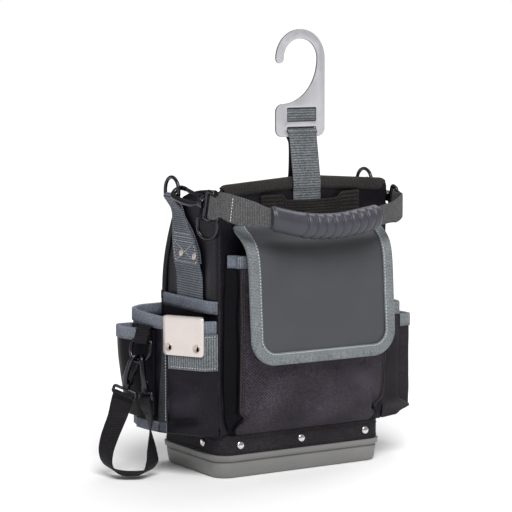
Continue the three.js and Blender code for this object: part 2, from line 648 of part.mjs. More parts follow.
// The plate pocket's rim rises toward the rear
const plateRim = (y) => PLATE_POCKET.rim + PLATE_POCKET.rise * (y - PLATE_POCKET.level);
const aboveRim = new THREE.ExtrudeGeometry(
  new THREE.Shape([v2(-90, plateRim(-90)), v2(90, plateRim(90)), v2(90, 230), v2(-90, 230)]),
  { depth: 120, bevelEnabled: false });
const plateShell = boxPocket(PLATE_PLAN, { ...PLATE_POCKET, rim: PLATE_POCKET.rim + 10 }, -95);
add("plate_pocket",
  cut(plateShell, placed(aboveRim, v3(-190, 0, 0), v3(0, 1, 0), v3(0, 0, 1))), BLACK_CLOTH);
const plateSurface = (u, v) => {
  const y = rowAt(PLATE_PLAN, u, "y");
  return v3(rowAt(PLATE_PLAN, u, "x"), y, lerp(PLATE_POCKET.foot, plateRim(y), v));
};
add("plate_pocket_binding",
  binding(plateSurface, rimOf(PLATE_PLAN, 0.15, 6.85), CLOTH, { depth: 13, side: -1 }), GREY_WEB);
add("right_pocket", boxPocket(RIGHT_PLAN, RIGHT_POCKET, 95), BLACK_CLOTH);
add("right_pocket_binding",
  binding(planSurface(RIGHT_PLAN, RIGHT_POCKET), rimOf(RIGHT_PLAN, 0.08, 4.85), CLOTH,
    { depth: 13, side: -1 }), GREY_WEB);
add("right_outer_pocket", boxPocket(RIGHT_OUTER_PLAN, RIGHT_OUTER, 140), BLACK_CLOTH);
add("right_outer_binding",
  binding(planSurface(RIGHT_OUTER_PLAN, RIGHT_OUTER), rimOf(RIGHT_OUTER_PLAN, 0.2, 4.75), CLOTH,
    { depth: 13, side: -1 }), GREY_WEB);

// Webbing band, edge binding and clip plate on the plate pocket's front face
const seam = v3(PLATE_PLAN[5].x, PLATE_PLAN[5].y, 0);
const faceEnd = v3(PLATE_PLAN[6].x, PLATE_PLAN[6].y, 0);
const faceAlong = faceEnd.clone().sub(seam).normalize();
const faceOut = v3(faceAlong.y, -faceAlong.x, 0);
/** Point on the face: along from the seam, out from the cloth, at a height. */
const onFace = (along, out, z) =>
  seam.clone().addScaledVector(faceAlong, along).addScaledVector(faceOut, out).setZ(z);
const planRows = (plan, steps) => steps.map((u) => ({ x: rowAt(plan, u, "x"), y: rowAt(plan, u, "y") }));
const bandPath = insetPlan(planRows(PLATE_PLAN, [5.13, 6, 6.92]), -GAP - 0.7).map((p) => v3(p.x, p.y, 147.8));
add("plate_pocket_band", strap(bandPath, v3(0, 0, 1), 41.6, 1.4), GREY_WEB);

function edgeStrip(rows, from, to) {
  const outer = insetPlan(rows, -GAP - 1.4);
  const inner = insetPlan(rows, -GAP);
  const outline = [...outer, ...inner.reverse()];
  return loft([from, to].map((z) => ({ z, outline })));
}
const edgeUpright = planRows(PLATE_PLAN, [4.72, 4.96, 5.04, 5.09]);
const edgeFoot = planRows(PLATE_PLAN, [3.02, 4, 4.96, 5.04, 5.08]);
add("plate_pocket_edge",
  join(edgeStrip(edgeUpright, 51.5, 170.9), edgeStrip(edgeFoot, 51.5, 63.5)), GREY_WEB);

const clipShape = new THREE.Shape();
clipShape.moveTo(-CLIP.width / 2, CLIP.top);
clipShape.lineTo(-CLIP.width / 2, CLIP.foot + CLIP.corner);
clipShape.quadraticCurveTo(-CLIP.width / 2, CLIP.foot, -CLIP.width / 2 + CLIP.corner, CLIP.foot);
clipShape.lineTo(CLIP.width / 2 - CLIP.corner, CLIP.foot);
clipShape.quadraticCurveTo(CLIP.width / 2, CLIP.foot, CLIP.width / 2, CLIP.foot + CLIP.corner);
clipShape.lineTo(CLIP.width / 2, CLIP.top);
const clipFront = new THREE.ExtrudeGeometry(clipShape, {
  depth: CLIP.thick, bevelEnabled: false, curveSegments: 5 });
const clipAt = onFace(CLIP.centre, CLIP.out, 0);
const clipReturn = CLIP.out + CLIP.thick + CLOTH + 2 * (GAP + BINDING_LEG) + GAP;
const clipTop = new THREE.BoxGeometry(CLIP.backWidth, CLIP.thick, clipReturn)
  .translate(CLIP.backAside, CLIP.top - CLIP.thick / 2, CLIP.thick - clipReturn / 2);
const clipBack = new THREE.BoxGeometry(CLIP.backWidth, 14, CLIP.thick)
  .translate(CLIP.backAside, CLIP.top - 7, CLIP.thick * 0.5 - clipReturn + CLIP.thick);
add("clip_plate",
  placed(join(clipFront, clipTop, clipBack), clipAt, faceAlong, v3(0, 0, 1)), BRIGHT);
[9.1, 45.7].forEach((along, i) => {
  const at = onFace(along, CLIP.out + CLIP.thick + GAP, CLIP.foot + 9.2);
  rivet(`clip_rivet_${i + 1}`, at, faceOut, 4.6, BRIGHT);
});

// Outer pocket on the left, drawn in toward its foot
function outerSurface(u, v) {
  const z = lerp(OUTER_POCKET.foot, OUTER_POCKET.rim, v);
  const out = smoothstep(clamp(v, 0, 1), -0.5, 0.85);
  const part = 0.12 + 0.88 * (out - 0.2) / 0.8;
  return v3(
    lerp(rowAt(OUTER_PLAN, u, "flatX"), rowAt(OUTER_PLAN, u, "x"), part),
    lerp(rowAt(OUTER_PLAN, u, "flatY"), rowAt(OUTER_PLAN, u, "y"), part), z);
}
const outerColumns = [0, 0.5, 1, 1.5, 2, 2.5, 3, 3.5, 4];
add("outer_pocket", wall(outerSurface, outerColumns, range(6), 2), BLACK_CLOTH);
add("outer_pocket_binding",
  binding(outerSurface, outerColumns.slice(1, -1).map((u) => [u, 1]), 2, { depth: 12, side: -1 }), GREY_WEB);

// Tape tab over the outer pocket's rim, with its ring
const tabFrom = v3(OUTER_PLAN[3].x, OUTER_PLAN[3].y, 0);
const tabTo = v3(OUTER_PLAN[4].x, OUTER_PLAN[4].y, 0);
const tabAlong = tabTo.clone().sub(tabFrom).normalize();
const tabOut = v3(tabAlong.y, -tabAlong.x, 0);
const tabMiddle = tabFrom.clone().lerp(tabTo, 0.55);
const onTab = (out, z, along = 0) =>
  tabMiddle.clone().addScaledVector(tabOut, out).addScaledVector(tabAlong, along).setZ(z);
const tabLoop = TAPE.wire + GAP + WEB / 2;
const tabFace = 2.8;
const tabBar = tabFace + tabLoop;
const tabPath = [
  [-2.6, 172.4], [1, 172.4], [tabFace, 170.8], [tabFace, 162],
  ...range(7, Math.PI, 2 * Math.PI).map((a) => [
    tabBar + tabLoop * Math.cos(a), TAPE.bar + tabLoop * Math.sin(a)]),
  [tabFace + 4, 163.5], [tabFace + 2.3, 166], [tabFace + 2.3, 171]];
add("tape_tab", strap(tabPath.map(([out, z]) => onTab(out, z)), tabAlong, 18), BLACK_WEB);
const tapeTilt = degToRad(TAPE.tilt);
const tapeAway = v3(0, 0, -Math.cos(tapeTilt)).addScaledVector(tabOut, Math.sin(tapeTilt));
const tapeBar = onTab(tabBar, TAPE.bar);
add("tape_ring", dRing(TAPE, tapeBar, tabAlong, tapeAway), GUNMETAL);

// Snap hook: own X toward the spine, own Y toward the ring, the ring's wire near the own origin
const spine = [
  [2.5, -42], [4.6, -37], [6.8, -31], [8.1, -20], [8, -8],
  ...range(8, 0, Math.PI).map((a) => [SNAP.bow * Math.cos(a), SNAP.bow * Math.sin(a)]),
  [-SNAP.bow, SNAP.nose]];
const post = (radius, from, to, sides = 10) =>
  new THREE.CylinderGeometry(radius, radius, to - from, sides).translate(0, (from + to) / 2, 0);
const pivotTurn = range(8, degToRad(50), degToRad(310));

function snapHook() {
  const bow = sweep(round(SNAP.bar, 6), stations(spine.map(([x, y]) => v3(x, y, 0)), v3(0, 0, 1)));
  const collar = cut(post(SNAP.collar, -48, -40), post(3, -50, -42));
  const cheekShape = new THREE.Shape([
    v2(-8.2, -34.5), v2(-7.4, -41), v2(-1, -41), v2(-2.2, -34.5),
    v2(-3, -32.3), v2(-5.2, -31.4), v2(-7.4, -32.3)]);
  const cheek = new THREE.ExtrudeGeometry(cheekShape, { depth: 1.4, bevelEnabled: false });
  const pin = new THREE.CylinderGeometry(1.2, 1.2, 7, 8).rotateX(Math.PI / 2)
    .translate(SNAP.pivotX, SNAP.pivotY, 0);
  return join(bow, collar, cheek.clone().translate(0, 0, 2.4), cheek.clone().translate(0, 0, -3.8), pin);
}
function snapGate() {
  const pivot = v2(SNAP.pivotX, SNAP.pivotY);
  const tip = v2(-SNAP.bow, SNAP.nose - 0.75);
  const along = tip.clone().sub(pivot).normalize();
  const side = v2(-along.y, along.x);
  const outline = [
    tip.clone().addScaledVector(side, SNAP.gate),
    ...pivotTurn.map((a) =>
      pivot.clone().addScaledVector(along, 2.9 * Math.cos(a)).addScaledVector(side, 2.9 * Math.sin(a))),
    tip.clone().addScaledVector(side, -SNAP.gate)];
  const shape = new THREE.Shape(outline);
  shape.holes.push(new THREE.Path().absarc(pivot.x, pivot.y, 1.6, 0, 2 * Math.PI, true));
  const lever = new THREE.ExtrudeGeometry(shape, { depth: 4, bevelEnabled: false, curveSegments: 5 });
  return lever.translate(0, 0, -2);
}
function snapSwivel(half) {
  const corners = [[half, -51], [half, SNAP.eyeBar], [-half, SNAP.eyeBar], [-half, -51]];
  const flat = corners.flatMap(([x, y]) => {
    const inX = x - Math.sign(x) * 3;
    const inY = y + (y === -51 ? -3 : 3);
    return y === -51 === x > 0
      ? [[inX, y], [x - Math.sign(x) * 0.9, y + (y === -51 ? -0.9 : 0.9)], [x, inY]]
      : [[x, inY], [x - Math.sign(x) * 0.9, y + (y === -51 ? -0.9 : 0.9)], [inX, y]];
  });
  const path = stations(flat.map(([x, y]) => v3(x, y, 0)), v3(0, 0, 1), true);
  const eye = sweep(round(2.1, 6), path, { closed: true });
  return join(eye, post(2.6, -51.2, -43));
}

/** Adds the three pieces of a snap hook; `wire` is the ring's wire, `reach` how far it lies under the bow. */
function addSnap(name, wire, toRing, toSpine, eyeAlong, { scale, eyeHalf, reach }) {
  const yDir = toRing.clone().normalize();
  const xDir = toSpine.clone().addScaledVector(yDir, -toSpine.dot(yDir)).normalize();
  const eyeDir = eyeAlong.clone().addScaledVector(yDir, -eyeAlong.dot(yDir)).normalize();
  const rest = (SNAP.bow - SNAP.bar) * scale - reach;
  const at = wire.clone().addScaledVector(yDir, -rest);
  const sized = (geometry) => geometry.scale(scale, scale, scale);
  add(`${name}_hook`, placed(sized(snapHook()), at, xDir, yDir), GUNMETAL);
  add(`${name}_gate`, placed(sized(snapGate()), at, xDir, yDir), GUNMETAL);
  add(`${name}_swivel`, placed(sized(snapSwivel(eyeHalf / scale)), at, eyeDir, yDir), GUNMETAL);
  return { eye: at.clone().addScaledVector(yDir, SNAP.eyeBar * scale), toRing: yDir, along: eyeDir };
}

// Handle: two snaps, a web through both eyes and a grip round it
const handleSnap = (side, hand, drop) => addSnap(
  `handle_snap_${side}`, v3(hand * RING.x, RING.y - RING.half, 327.6), v3(hand * 8.5, 63, drop),
  v3(hand * Math.cos(degToRad(42)), 0, -Math.sin(degToRad(42))), v3(0, 0, 1),
  { scale: 1, eyeHalf: 15.6, reach: RING.wire + 6 * GAP });
const leftEye = handleSnap("left", -1, 13);
const rightEye = handleSnap("right", 1, 18);

/** End of a strap folded through an eye, from its tail to the side the strap leaves. */
function foldedEnd({ eye, toRing, along }, bar, aside, tail) {
  const level = aside.clone().addScaledVector(toRing, -aside.dot(toRing));
  const side = level.cross(along).cross(along).normalize();
  const out = side.multiplyScalar(Math.sign(side.dot(aside)));
  const loop = bar + GAP + WEB / 2;
  const place = (run, off) => eye.clone().addScaledVector(toRing, run).addScaledVector(out, off);
  const points = [
    place(-tail, -1.4), place(-8, -1.5),
    ...range(6, -Math.PI / 2, Math.PI / 2).map((a) => place(loop * Math.cos(a), loop * Math.sin(a))),
    place(-8, 1.4)];
  return points.map((at) => ({ at, wide: along }));
}
const handleCurve = new THREE.CatmullRomCurve3(HANDLE_CURVE.map((row) => v3(row.x, row.y, row.z)));
const handleSteps = range(34).map((t) => ({ t, at: handleCurve.getPoint(t) }));
const webLeft = foldedEnd(leftEye, 2.1, v3(-1, 0, 0), 12);
const webRight = foldedEnd(rightEye, 2.1, v3(1, 0, 0), 12).reverse();
const webMiddle = handleSteps.map(({ at }) => ({ at, wide: v3(0, 0, 1) }));
const webRun = [...webLeft, ...webMiddle, ...webRight];
const webWidths = [
  ...webLeft.map(() => 25.5),
  ...handleSteps.map(({ t }) => rowAt(HANDLE_CURVE, t * (HANDLE_CURVE.length - 1), "width")),
  ...webRight.map(() => 25.5)];
add("handle_web", strap(webRun.map((step) => step.at), webRun.map((step) => step.wide), webWidths), GREY_WEB);

const gripSpan = range(4 * GRIP.ribs, GRIP.from, GRIP.to).map((x) => {
  const t = 0.5 + x / 41 / (HANDLE_CURVE.length - 1);
  return { x, at: handleCurve.getPoint(clamp(t, 0, 1)) };
});
const gripPath = stations(gripSpan.map((step) => step.at), v3(0, 0, 1));
const gripSize = (i) => {
  const rib = i % 4 === 0 && i > 4 && i < 4 * GRIP.ribs - 4 ? 0.93 : 1;
  return [rib, rib];
};
const gripOutline = round(1, 12).map((p) => v2(p.x * GRIP.tall, p.y * GRIP.deep));
const gripBody = sweep(gripOutline, gripPath, { size: gripSize });
const gripBore = strap(
  [gripSpan[0].at.clone().lerp(gripSpan[1].at, -1), ...gripSpan.map((step) => step.at),
    gripSpan.at(-1).at.clone().lerp(gripSpan.at(-2).at, -1)],
  v3(0, 0, 1), GRIP.bore, WEB + 2.4);
add("handle_grip", cut(gripBody, gripBore), GRIP_RUBBER);

// Tape strap between two snaps on the tape ring
const across = v3(0.848, -0.531, 0);
const facing = v3(-0.531, -0.848, 0);
const ringFoot = tapeBar.clone().addScaledVector(tapeAway, TAPE.leg + TAPE.half);
const turned = (turn) =>
  across.clone().multiplyScalar(Math.cos(degToRad(turn))).addScaledVector(facing, Math.sin(degToRad(turn)));
function tapeSnap(name, along, lean, turn) {
  const a = degToRad(lean);
  const wire = ringFoot.clone().addScaledVector(tabAlong, along)
    .addScaledVector(tapeAway, Math.sqrt(TAPE.half ** 2 - along ** 2) - TAPE.half);
  const toRing = v3(0, 0, Math.cos(a)).addScaledVector(tabAlong, Math.sin(a)).addScaledVector(tabOut, -0.06);
  const toSpine = tabOut.clone().addScaledVector(tabAlong, Math.sign(along) * 0.5);
  return addSnap(name, wire, toRing, toSpine, turned(turn),
    { scale: 0.72, eyeHalf: 14, reach: TAPE.wire + 4 * GAP });
}
const rearSnap = tapeSnap("tape_snap_rear", -5, 20, 15);
const frontSnap = tapeSnap("tape_snap_front", 5, -9, 58);
const tapeMiddle = TAPE_CURVE.map((row) => ({
  at: ringFoot.clone().addScaledVector(across, row.across).addScaledVector(facing, row.out).setZ(row.z),
  wide: turned(row.turn) }));
const tapeRun = [
  ...foldedEnd(rearSnap, 1.5, facing, 17),
  ...tapeMiddle,
  ...foldedEnd(frontSnap, 1.5, facing, 17).reverse()];
add("tape_strap", strap(tapeRun.map((step) => step.at), tapeRun.map((step) => step.wide), 24), BLACK_WEB);

// Hook plate and its strap
const hookShape = new THREE.Shape();
hookShape.moveTo(HOOK.left + HOOK.bend, HOOK.foot);
hookShape.lineTo(HOOK.right - HOOK.bend, HOOK.foot);
hookShape.quadraticCurveTo(HOOK.right, HOOK.foot, HOOK.right, HOOK.foot + HOOK.bend);
hookShape.absarc(HOOK_BOW.x, HOOK_BOW.z, HOOK_BOW.outer, 0, Math.PI, false);
hookShape.absarc(HOOK_BOW.x - (HOOK_BOW.outer + HOOK_BOW.inner) / 2, HOOK_BOW.z,
  (HOOK_BOW.outer - HOOK_BOW.inner) / 2, Math.PI, 2 * Math.PI, false);
hookShape.absarc(HOOK_BOW.x, HOOK_BOW.z, HOOK_BOW.inner, Math.PI, 0, true);
hookShape.absellipse(HOOK_BOW.x - 24.3, HOOK_BOW.z, 47, 51.5, 2 * Math.PI, 1.5 * Math.PI, true, 0);
hookShape.quadraticCurveTo(HOOK.left, 428.5, HOOK.left, 419);
hookShape.lineTo(HOOK.left, HOOK.foot + HOOK.bend);
hookShape.quadraticCurveTo(HOOK.left, HOOK.foot, HOOK.left + HOOK.bend, HOOK.foot);
const slot = (from, to) => new THREE.Path([
  v2(-HOOK.slotHalf, from), v2(HOOK.slotHalf, from), v2(HOOK.slotHalf, to), v2(-HOOK.slotHalf, to)]);
hookShape.holes.push(slot(395.6, 402), slot(408, 424));
const hookPlate = new THREE.ExtrudeGeometry(hookShape, {
  depth: HOOK_PLATE.thickness, bevelEnabled: false, curveSegments: 8 });
const hookAt = v3(HOOK_PLATE.x, HOOK_PLATE.y + HOOK_PLATE.thickness / 2, 0);
add("hook_plate", placed(hookPlate, hookAt, v3(1, 0, 0), v3(0, 0, 1)), STEEL);

// Strap centre line from the front of the panel, through the lower slot, over and down behind
const frontFace = HOOK_PLATE.y - HOOK_PLATE.thickness / 2;
const backFace = HOOK_PLATE.y + HOOK_PLATE.thickness / 2;
const hookRun = [
  { y: panelFront(300) - 1.5, z: 300 },
  { y: panelFront(330) - 2, z: 326 },
  { y: frontFace - 1.6, z: 338 },
  { y: frontFace - 1.6, z: 390 },
  { y: frontFace - 1.6, z: 395.6 },
  { y: frontFace - 0.7, z: 397.8 },
  { y: backFace + 0.7, z: 399.8 },
  { y: backFace + 1.6, z: 402 },
  { y: backFace + 1.7, z: 416 },
  { y: backFace + 2.2, z: 422 },
  { y: backFace + 4, z: 424.1 },
  { y: backFace + 5.8, z: 422 },
  { y: backFace + 5.9, z: 400 },
  { y: backFace + 5, z: 352 },
  { y: panelFront(340) + PANEL.thickness + 3.2, z: 340 },
  { y: panelFront(318) + PANEL.thickness + 2.2, z: 322 },
  { y: panelFront(300) + PANEL.thickness + 1.5, z: 300 },
];
const strapX = (z) => lerp(1.6, HOOK_PLATE.x, clamp((z - 319) / 80, -0.3, 1));
add("hook_strap",
  strap(hookRun.map(({ y, z }) => v3(strapX(z), y, z)), v3(1, 0, 0),
    hookRun.map(({ z }) => (z > 392 ? 38.6 : 37))), GREY_WEB);

export default pouch;
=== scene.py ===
"""Looks of an open-top tool pouch: cloth, webbing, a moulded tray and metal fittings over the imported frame.

Sizes are millimetres in the frame's own axes (+Z up, -Y out of the front) and become metres in the meshes.
"""

from __future__ import annotations

import logging
from dataclasses import dataclass, field
from enum import Enum
from functools import cache
from math import copysign, cos, exp, pi, radians, sin, sqrt
from typing import Callable, NamedTuple, Sequence

import bmesh
import bpy
from bmesh.types import BMesh, BMVert
from bpy.types import Material, Node, NodeSocket, Object
from mathutils import Matrix, Vector, noise

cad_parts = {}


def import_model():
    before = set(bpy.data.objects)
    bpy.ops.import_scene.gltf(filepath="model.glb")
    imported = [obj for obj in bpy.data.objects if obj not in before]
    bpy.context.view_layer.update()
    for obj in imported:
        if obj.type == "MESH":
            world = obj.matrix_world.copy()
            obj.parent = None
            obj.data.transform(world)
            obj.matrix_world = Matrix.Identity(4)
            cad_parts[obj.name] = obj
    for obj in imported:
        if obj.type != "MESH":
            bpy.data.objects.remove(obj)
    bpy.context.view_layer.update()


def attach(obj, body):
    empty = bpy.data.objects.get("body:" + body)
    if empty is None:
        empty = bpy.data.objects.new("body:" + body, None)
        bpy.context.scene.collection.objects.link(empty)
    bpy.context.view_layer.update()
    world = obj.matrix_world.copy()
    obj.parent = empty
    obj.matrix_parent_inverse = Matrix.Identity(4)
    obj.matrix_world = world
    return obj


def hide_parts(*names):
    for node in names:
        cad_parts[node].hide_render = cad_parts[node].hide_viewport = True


log = logging.getLogger("tool_pouch")

MM = 0.001
GAP = 0.35  # room between a piece and what it lies on
CLOTH = 2.2  # thickness of the pockets' cloth
WEB = 1.8  # thickness of the straps
BINDING_LEG = 1.1  # thickness of the edge tapes
EDGE_ANGLE = 1.2  # angle in radians past which a plate's edge is softened
POUCH = "pouch"  # body of every piece that has no joint of its own
UP = Vector((0, 0, 1))
BACK = Vector((0, 1, 0))
ASIDE = Vector((1, 0, 0))

Colour = tuple[float, float, float]
Outline = list[tuple[float, float]]
Surface = Callable[[float, float], Vector]
Socket = NodeSocket | float | Sequence[float]


class Hand(Enum):
    """Side of the pouch seen from the front; the value is the sign of X."""

    LEFT = -1
    RIGHT = 1


class RibRun(Enum):
    """Direction of a piece's own map along which the ribs of its webbing follow each other."""

    ALONG = 0
    ACROSS = 1


class PlanRow(NamedTuple):
    """Corner of a pocket seen from above."""

    x: float
    y: float


class OuterRow(NamedTuple):
    """Corner of the outer pocket, standing out and lying flat."""

    x: float
    y: float
    flat_x: float
    flat_y: float


class PleatRow(NamedTuple):
    """Fold of the front pocket: half width, standing out, and half width at the foot."""

    x: float
    depth: float
    foot_x: float


class LevelRow(NamedTuple):
    """Outline of a rounded oblong at a height."""

    z: float
    half_x: float
    half_y: float
    corner: float


class WebRow(NamedTuple):
    """Point of the handle's centre line with the web's width there."""

    x: float
    y: float
    z: float
    width: float


class TapeRow(NamedTuple):
    """Point of the tape strap: across, height, outward, and turn of its width in degrees."""

    across: float
    z: float
    out: float
    turn: float


class StripRow(NamedTuple):
    """Column of the strip on the centre panel: place, standing out and top edge."""

    x: float
    off: float
    top: float


class Station(NamedTuple):
    """Place on a strap with the direction of its width and the width."""

    at: Vector
    wide: Vector
    width: float


def lerp(a: float, b: float, t: float) -> float:
    """Value between two numbers."""
    return a + (b - a) * t


def clamp(value: float, low: float, high: float) -> float:
    """Value held between two limits."""
    return max(low, min(high, value))


def smoothstep(value: float, low: float, high: float) -> float:
    """Soft step from 0 at low to 1 at high."""
    t = clamp((value - low) / (high - low), 0.0, 1.0)
    return t * t * (3 - 2 * t)


def bump(off: float, width: float) -> float:
    """Soft bump: 1 in its middle and nearly 0 from two widths off."""
    return exp(-((off / width) ** 2))


def spread(count: int, low: float = 0.0, high: float = 1.0) -> list[float]:
    """Even values from low to high, both ends counted."""
    return [lerp(low, high, i / count) for i in range(count + 1)]


def linear(*channels: int) -> Colour:
    """Linear colour of an 8-bit screen colour."""
    return tuple(((c / 255 + 0.055) / 1.055) ** 2.4 if c > 10 else c / 3294.6 for c in channels)


def flat(degrees: float) -> Vector:
    """Level direction at an angle from +X."""
    return Vector((cos(radians(degrees)), sin(radians(degrees)), 0))


def soft_row(values: Sequence[float], index: float, blend: float = 0.22) -> float:
    """Reads a column between its rows, straight along the run and rounded off at each row.

    Args:
        values: the column.
        index: running index of the row.
        blend: share of a step on each side of a row that is rounded.

    Returns:
        The value at that index.
    """
    last = len(values) - 1
    i = int(clamp(index // 1, 0, last - 1))
    value = lerp(values[i], values[i + 1], index - i)
    near = round(index)
    if 0 < near < last and abs(index - near) < blend:
        before = values[near] - values[near - 1]
        after = values[near + 1] - values[near]
        t = (index - near + blend) / (2 * blend)
        value = values[near] - before * blend + 2 * blend * (before * t + (after - before) * t * t / 2)
    return value


def through_points(points: Sequence[Vector], per_step: int) -> list[Vector]:
    """Smooth curve through points.

    Args:
        points: points that the curve passes.
        per_step: number of steps between two of them.

    Returns:
        Points along the curve, both ends counted.
    """
    curve = []
    for i in range(len(points) - 1):
        p = [points[int(clamp(i + k, 0, len(points) - 1))] for k in (-1, 0, 1, 2)]
        for k in range(per_step):
            t = k / per_step
            curve.append(
                0.5 * (2 * p[1] + (p[2] - p[0]) * t + (2 * p[0] - 5 * p[1] + 4 * p[2] - p[3]) * t**2
                       + (3 * p[1] - p[0] - 3 * p[2] + p[3]) * t**3))
    return [*curve, points[-1].copy()]


@dataclass
class Track:
    """Line of points that is read by the length along it."""

    points: list[Vector]
    marks: list[float] = field(init=False)

    def __post_init__(self) -> None:
        """Measures the line."""
        self.marks = [0.0]
        for a, b in zip(self.points, self.points[1:]):
            self.marks.append(self.marks[-1] + (b - a).length)

    @property
    def length(self) -> float:
        """Length of the whole line."""
        return self.marks[-1]

    def place(self, run: float) -> tuple[int, float]:
        """Finds the step that holds a length along the line.

        Args:
            run: length from the start.

        Returns:
            The step's number and the share of it that lies before the place.
        """
        i = 0
        while i < len(self.marks) - 2 and self.marks[i + 1] < run:
            i += 1
        return i, (run - self.marks[i]) / max(self.marks[i + 1] - self.marks[i], 1e-9)

    def at(self, run: float) -> Vector:
        """Point at a length along the line, straight on past its ends."""
        i, t = self.place(run)
        return self.points[i].lerp(self.points[i + 1], t)

    def along(self, run: float) -> Vector:
        """Direction of the line at a length along it."""
        i, _ = self.place(run)
        return (self.points[i + 1] - self.points[i]).normalized()


def normal_of(surface: Surface, u: float, v: float, reach: float = 0.01) -> Vector:
    """Outward direction of a surface by small steps."""
    run = surface(u + reach, v) - surface(u - reach, v)
    return run.cross(surface(u, v + reach) - surface(u, v - reach)).normalized()


def grid_mesh(
    rows: Sequence[Sequence[Vector]],
    *,
    closed_u: bool = False,
    closed_v: bool = False,
    capped: bool = False,
) -> BMesh:
    """Lays a grid over rows of points and maps it by its own lengths.

    Args:
        rows: rows of points, each running along u, one above the other along v.
        closed_u: each row closes on itself.
        closed_v: the last row meets the first.
        capped: open ends are filled.

    Returns:
        The mesh, in metres.
    """
    table = [[*row, row[0]] if closed_u else list(row) for row in rows]
    if closed_v:
        table.append(table[0])
    wide, high = len(table[0]) - 1, len(table) - 1
    bm = bmesh.new()
    run = bm.loops.layers.uv.new("run")
    bmesh.ops.create_grid(bm, x_segments=wide, y_segments=high, size=0.5)
    steps = {v: (round((v.co.x + 0.5) * wide), round((v.co.y + 0.5) * high)) for v in bm.verts}
    along = Track(table[high // 2]).marks
    up = Track([row[wide // 2] for row in table]).marks
    for face in bm.faces:
        for loop in face.loops:
            i, j = steps[loop.vert]
            loop[run].uv = (along[i] * MM, up[j] * MM)
    for vert, (i, j) in steps.items():
        vert.co = table[j][i] * MM
    if closed_u or closed_v:
        bmesh.ops.remove_doubles(bm, verts=bm.verts[:], dist=1e-8)
    if capped:
        bmesh.ops.holes_fill(bm, edges=bm.edges[:], sides=0)
        bmesh.ops.recalc_face_normals(bm, faces=bm.faces[:])
    return bm


def sheet_mesh(surface: Surface, us: Sequence[float], vs: Sequence[float]) -> BMesh:
    """Grid over a surface whose u runs anticlockwise seen from above and whose v runs up."""
    return grid_mesh([[surface(u, v) for u in us] for v in vs])


def swell(bm: BMesh, depth: Callable[[Vector], float]) -> BMesh:
    """Moves each point of a mesh along its normal and keeps the move as the attribute "lift".

    Args:
        bm: the mesh.
        depth: the move in millimetres at a place in millimetres.

    Returns:
        The same mesh.
    """
    lift = bm.verts.layers.float.new("lift")
    bm.normal_update()
    for vert in bm.verts:
        vert[lift] = depth(vert.co / MM)
    moves = [(vert, vert.normal * vert[lift] * MM) for vert in bm.verts]
    for vert, move in moves:
        vert.co += move
    return bm


def ripple(at: Vector, size: float, amount: float) -> float:
    """Gentle unevenness of cloth at a place."""
    return amount * noise.noise(at / size)


def drape(at: Vector, size: float, amount: float) -> float:
    """Seeded folds that hang straight down."""
    return ripple(Vector((at.x, at.y, at.z * 0.16)), size, amount)


def binding_mesh(
    surface: Surface,
    edge: Sequence[tuple[float, float]],
    thickness: float,
    *,
    depth: float,
    side: int = -1,
    slack: float = 0.0,
) -> BMesh:
    """Tape folded over an edge of a cloth wall.

    Args:
        surface: outer face of the wall.
        edge: places of the edge on that face, in order.
        thickness: thickness of the wall.
        depth: how far the tape reaches down each face.
        side: -1 where the edge is above the run, 1 where it is below.
        slack: extra room between the tape and the wall.

    Returns:
        The outer face of the tape.
    """
    half = thickness / 2 + GAP + slack + BINDING_LEG
    lip = GAP + BINDING_LEG
    section = [(half, -depth), (half, -0.66 * depth), (half, -0.33 * depth)]
    section += [(half * cos(a), lip * sin(a)) for a in spread(6, 0, pi)]
    section += [(-half, -0.5 * depth), (-half, -depth)]
    order = list(edge) if side < 0 else list(edge)[::-1]
    outs = [normal_of(surface, u, v) for u, v in order]
    points = [surface(u, v) - out * thickness / 2 for (u, v), out in zip(order, outs)]
    columns = []
    for i, (at, out) in enumerate(zip(points, outs)):
        ahead = points[min(i + 1, len(points) - 1)] - points[max(i - 1, 0)]
        free = out.cross(ahead).normalized()
        columns.append([at + out * a + free * b for a, b in section])
    return grid_mesh(list(zip(*columns)))


def ribbon_mesh(stations: Sequence[Station], thickness: float = WEB, per_step: int = 5) -> BMesh:
    """Flat woven strap with rounded edges along stations.

    Args:
        stations: places along the strap.
        thickness: thickness of the web.
        per_step: number of steps between two stations.

    Returns:
        The closed strap.
    """
    points = through_points([s.at for s in stations], per_step)
    half = thickness / 2
    section = [(0.5, 0, 0.25), (0.5, 0, 0.7), (0.5, -half, 1), (0.25, 0, 1), (0, 0, 1), (-0.25, 0, 1)]
    section += [(-0.5, half, 1), (-0.5, 0, 0.7), (-0.5, 0, 0.25)]
    columns = []
    for i, at in enumerate(points):
        k = min(i // per_step, len(stations) - 2)
        t = i / per_step - k
        wide = stations[k].wide.lerp(stations[k + 1].wide, t).normalized()
        width = lerp(stations[k].width, stations[k + 1].width, t)
        ahead = points[min(i + 1, len(points) - 1)] - points[max(i - 1, 0)]
        up = wide.cross(ahead).normalized()
        face = [at + wide * (a * width + edge) + up * (half * rise) for a, edge, rise in section]
        back = [at + wide * (a * width + edge) - up * (half * rise) for a, edge, rise in reversed(section)]
        columns.append([*face, *back])
    return grid_mesh(list(zip(*columns)), closed_v=True, capped=True)


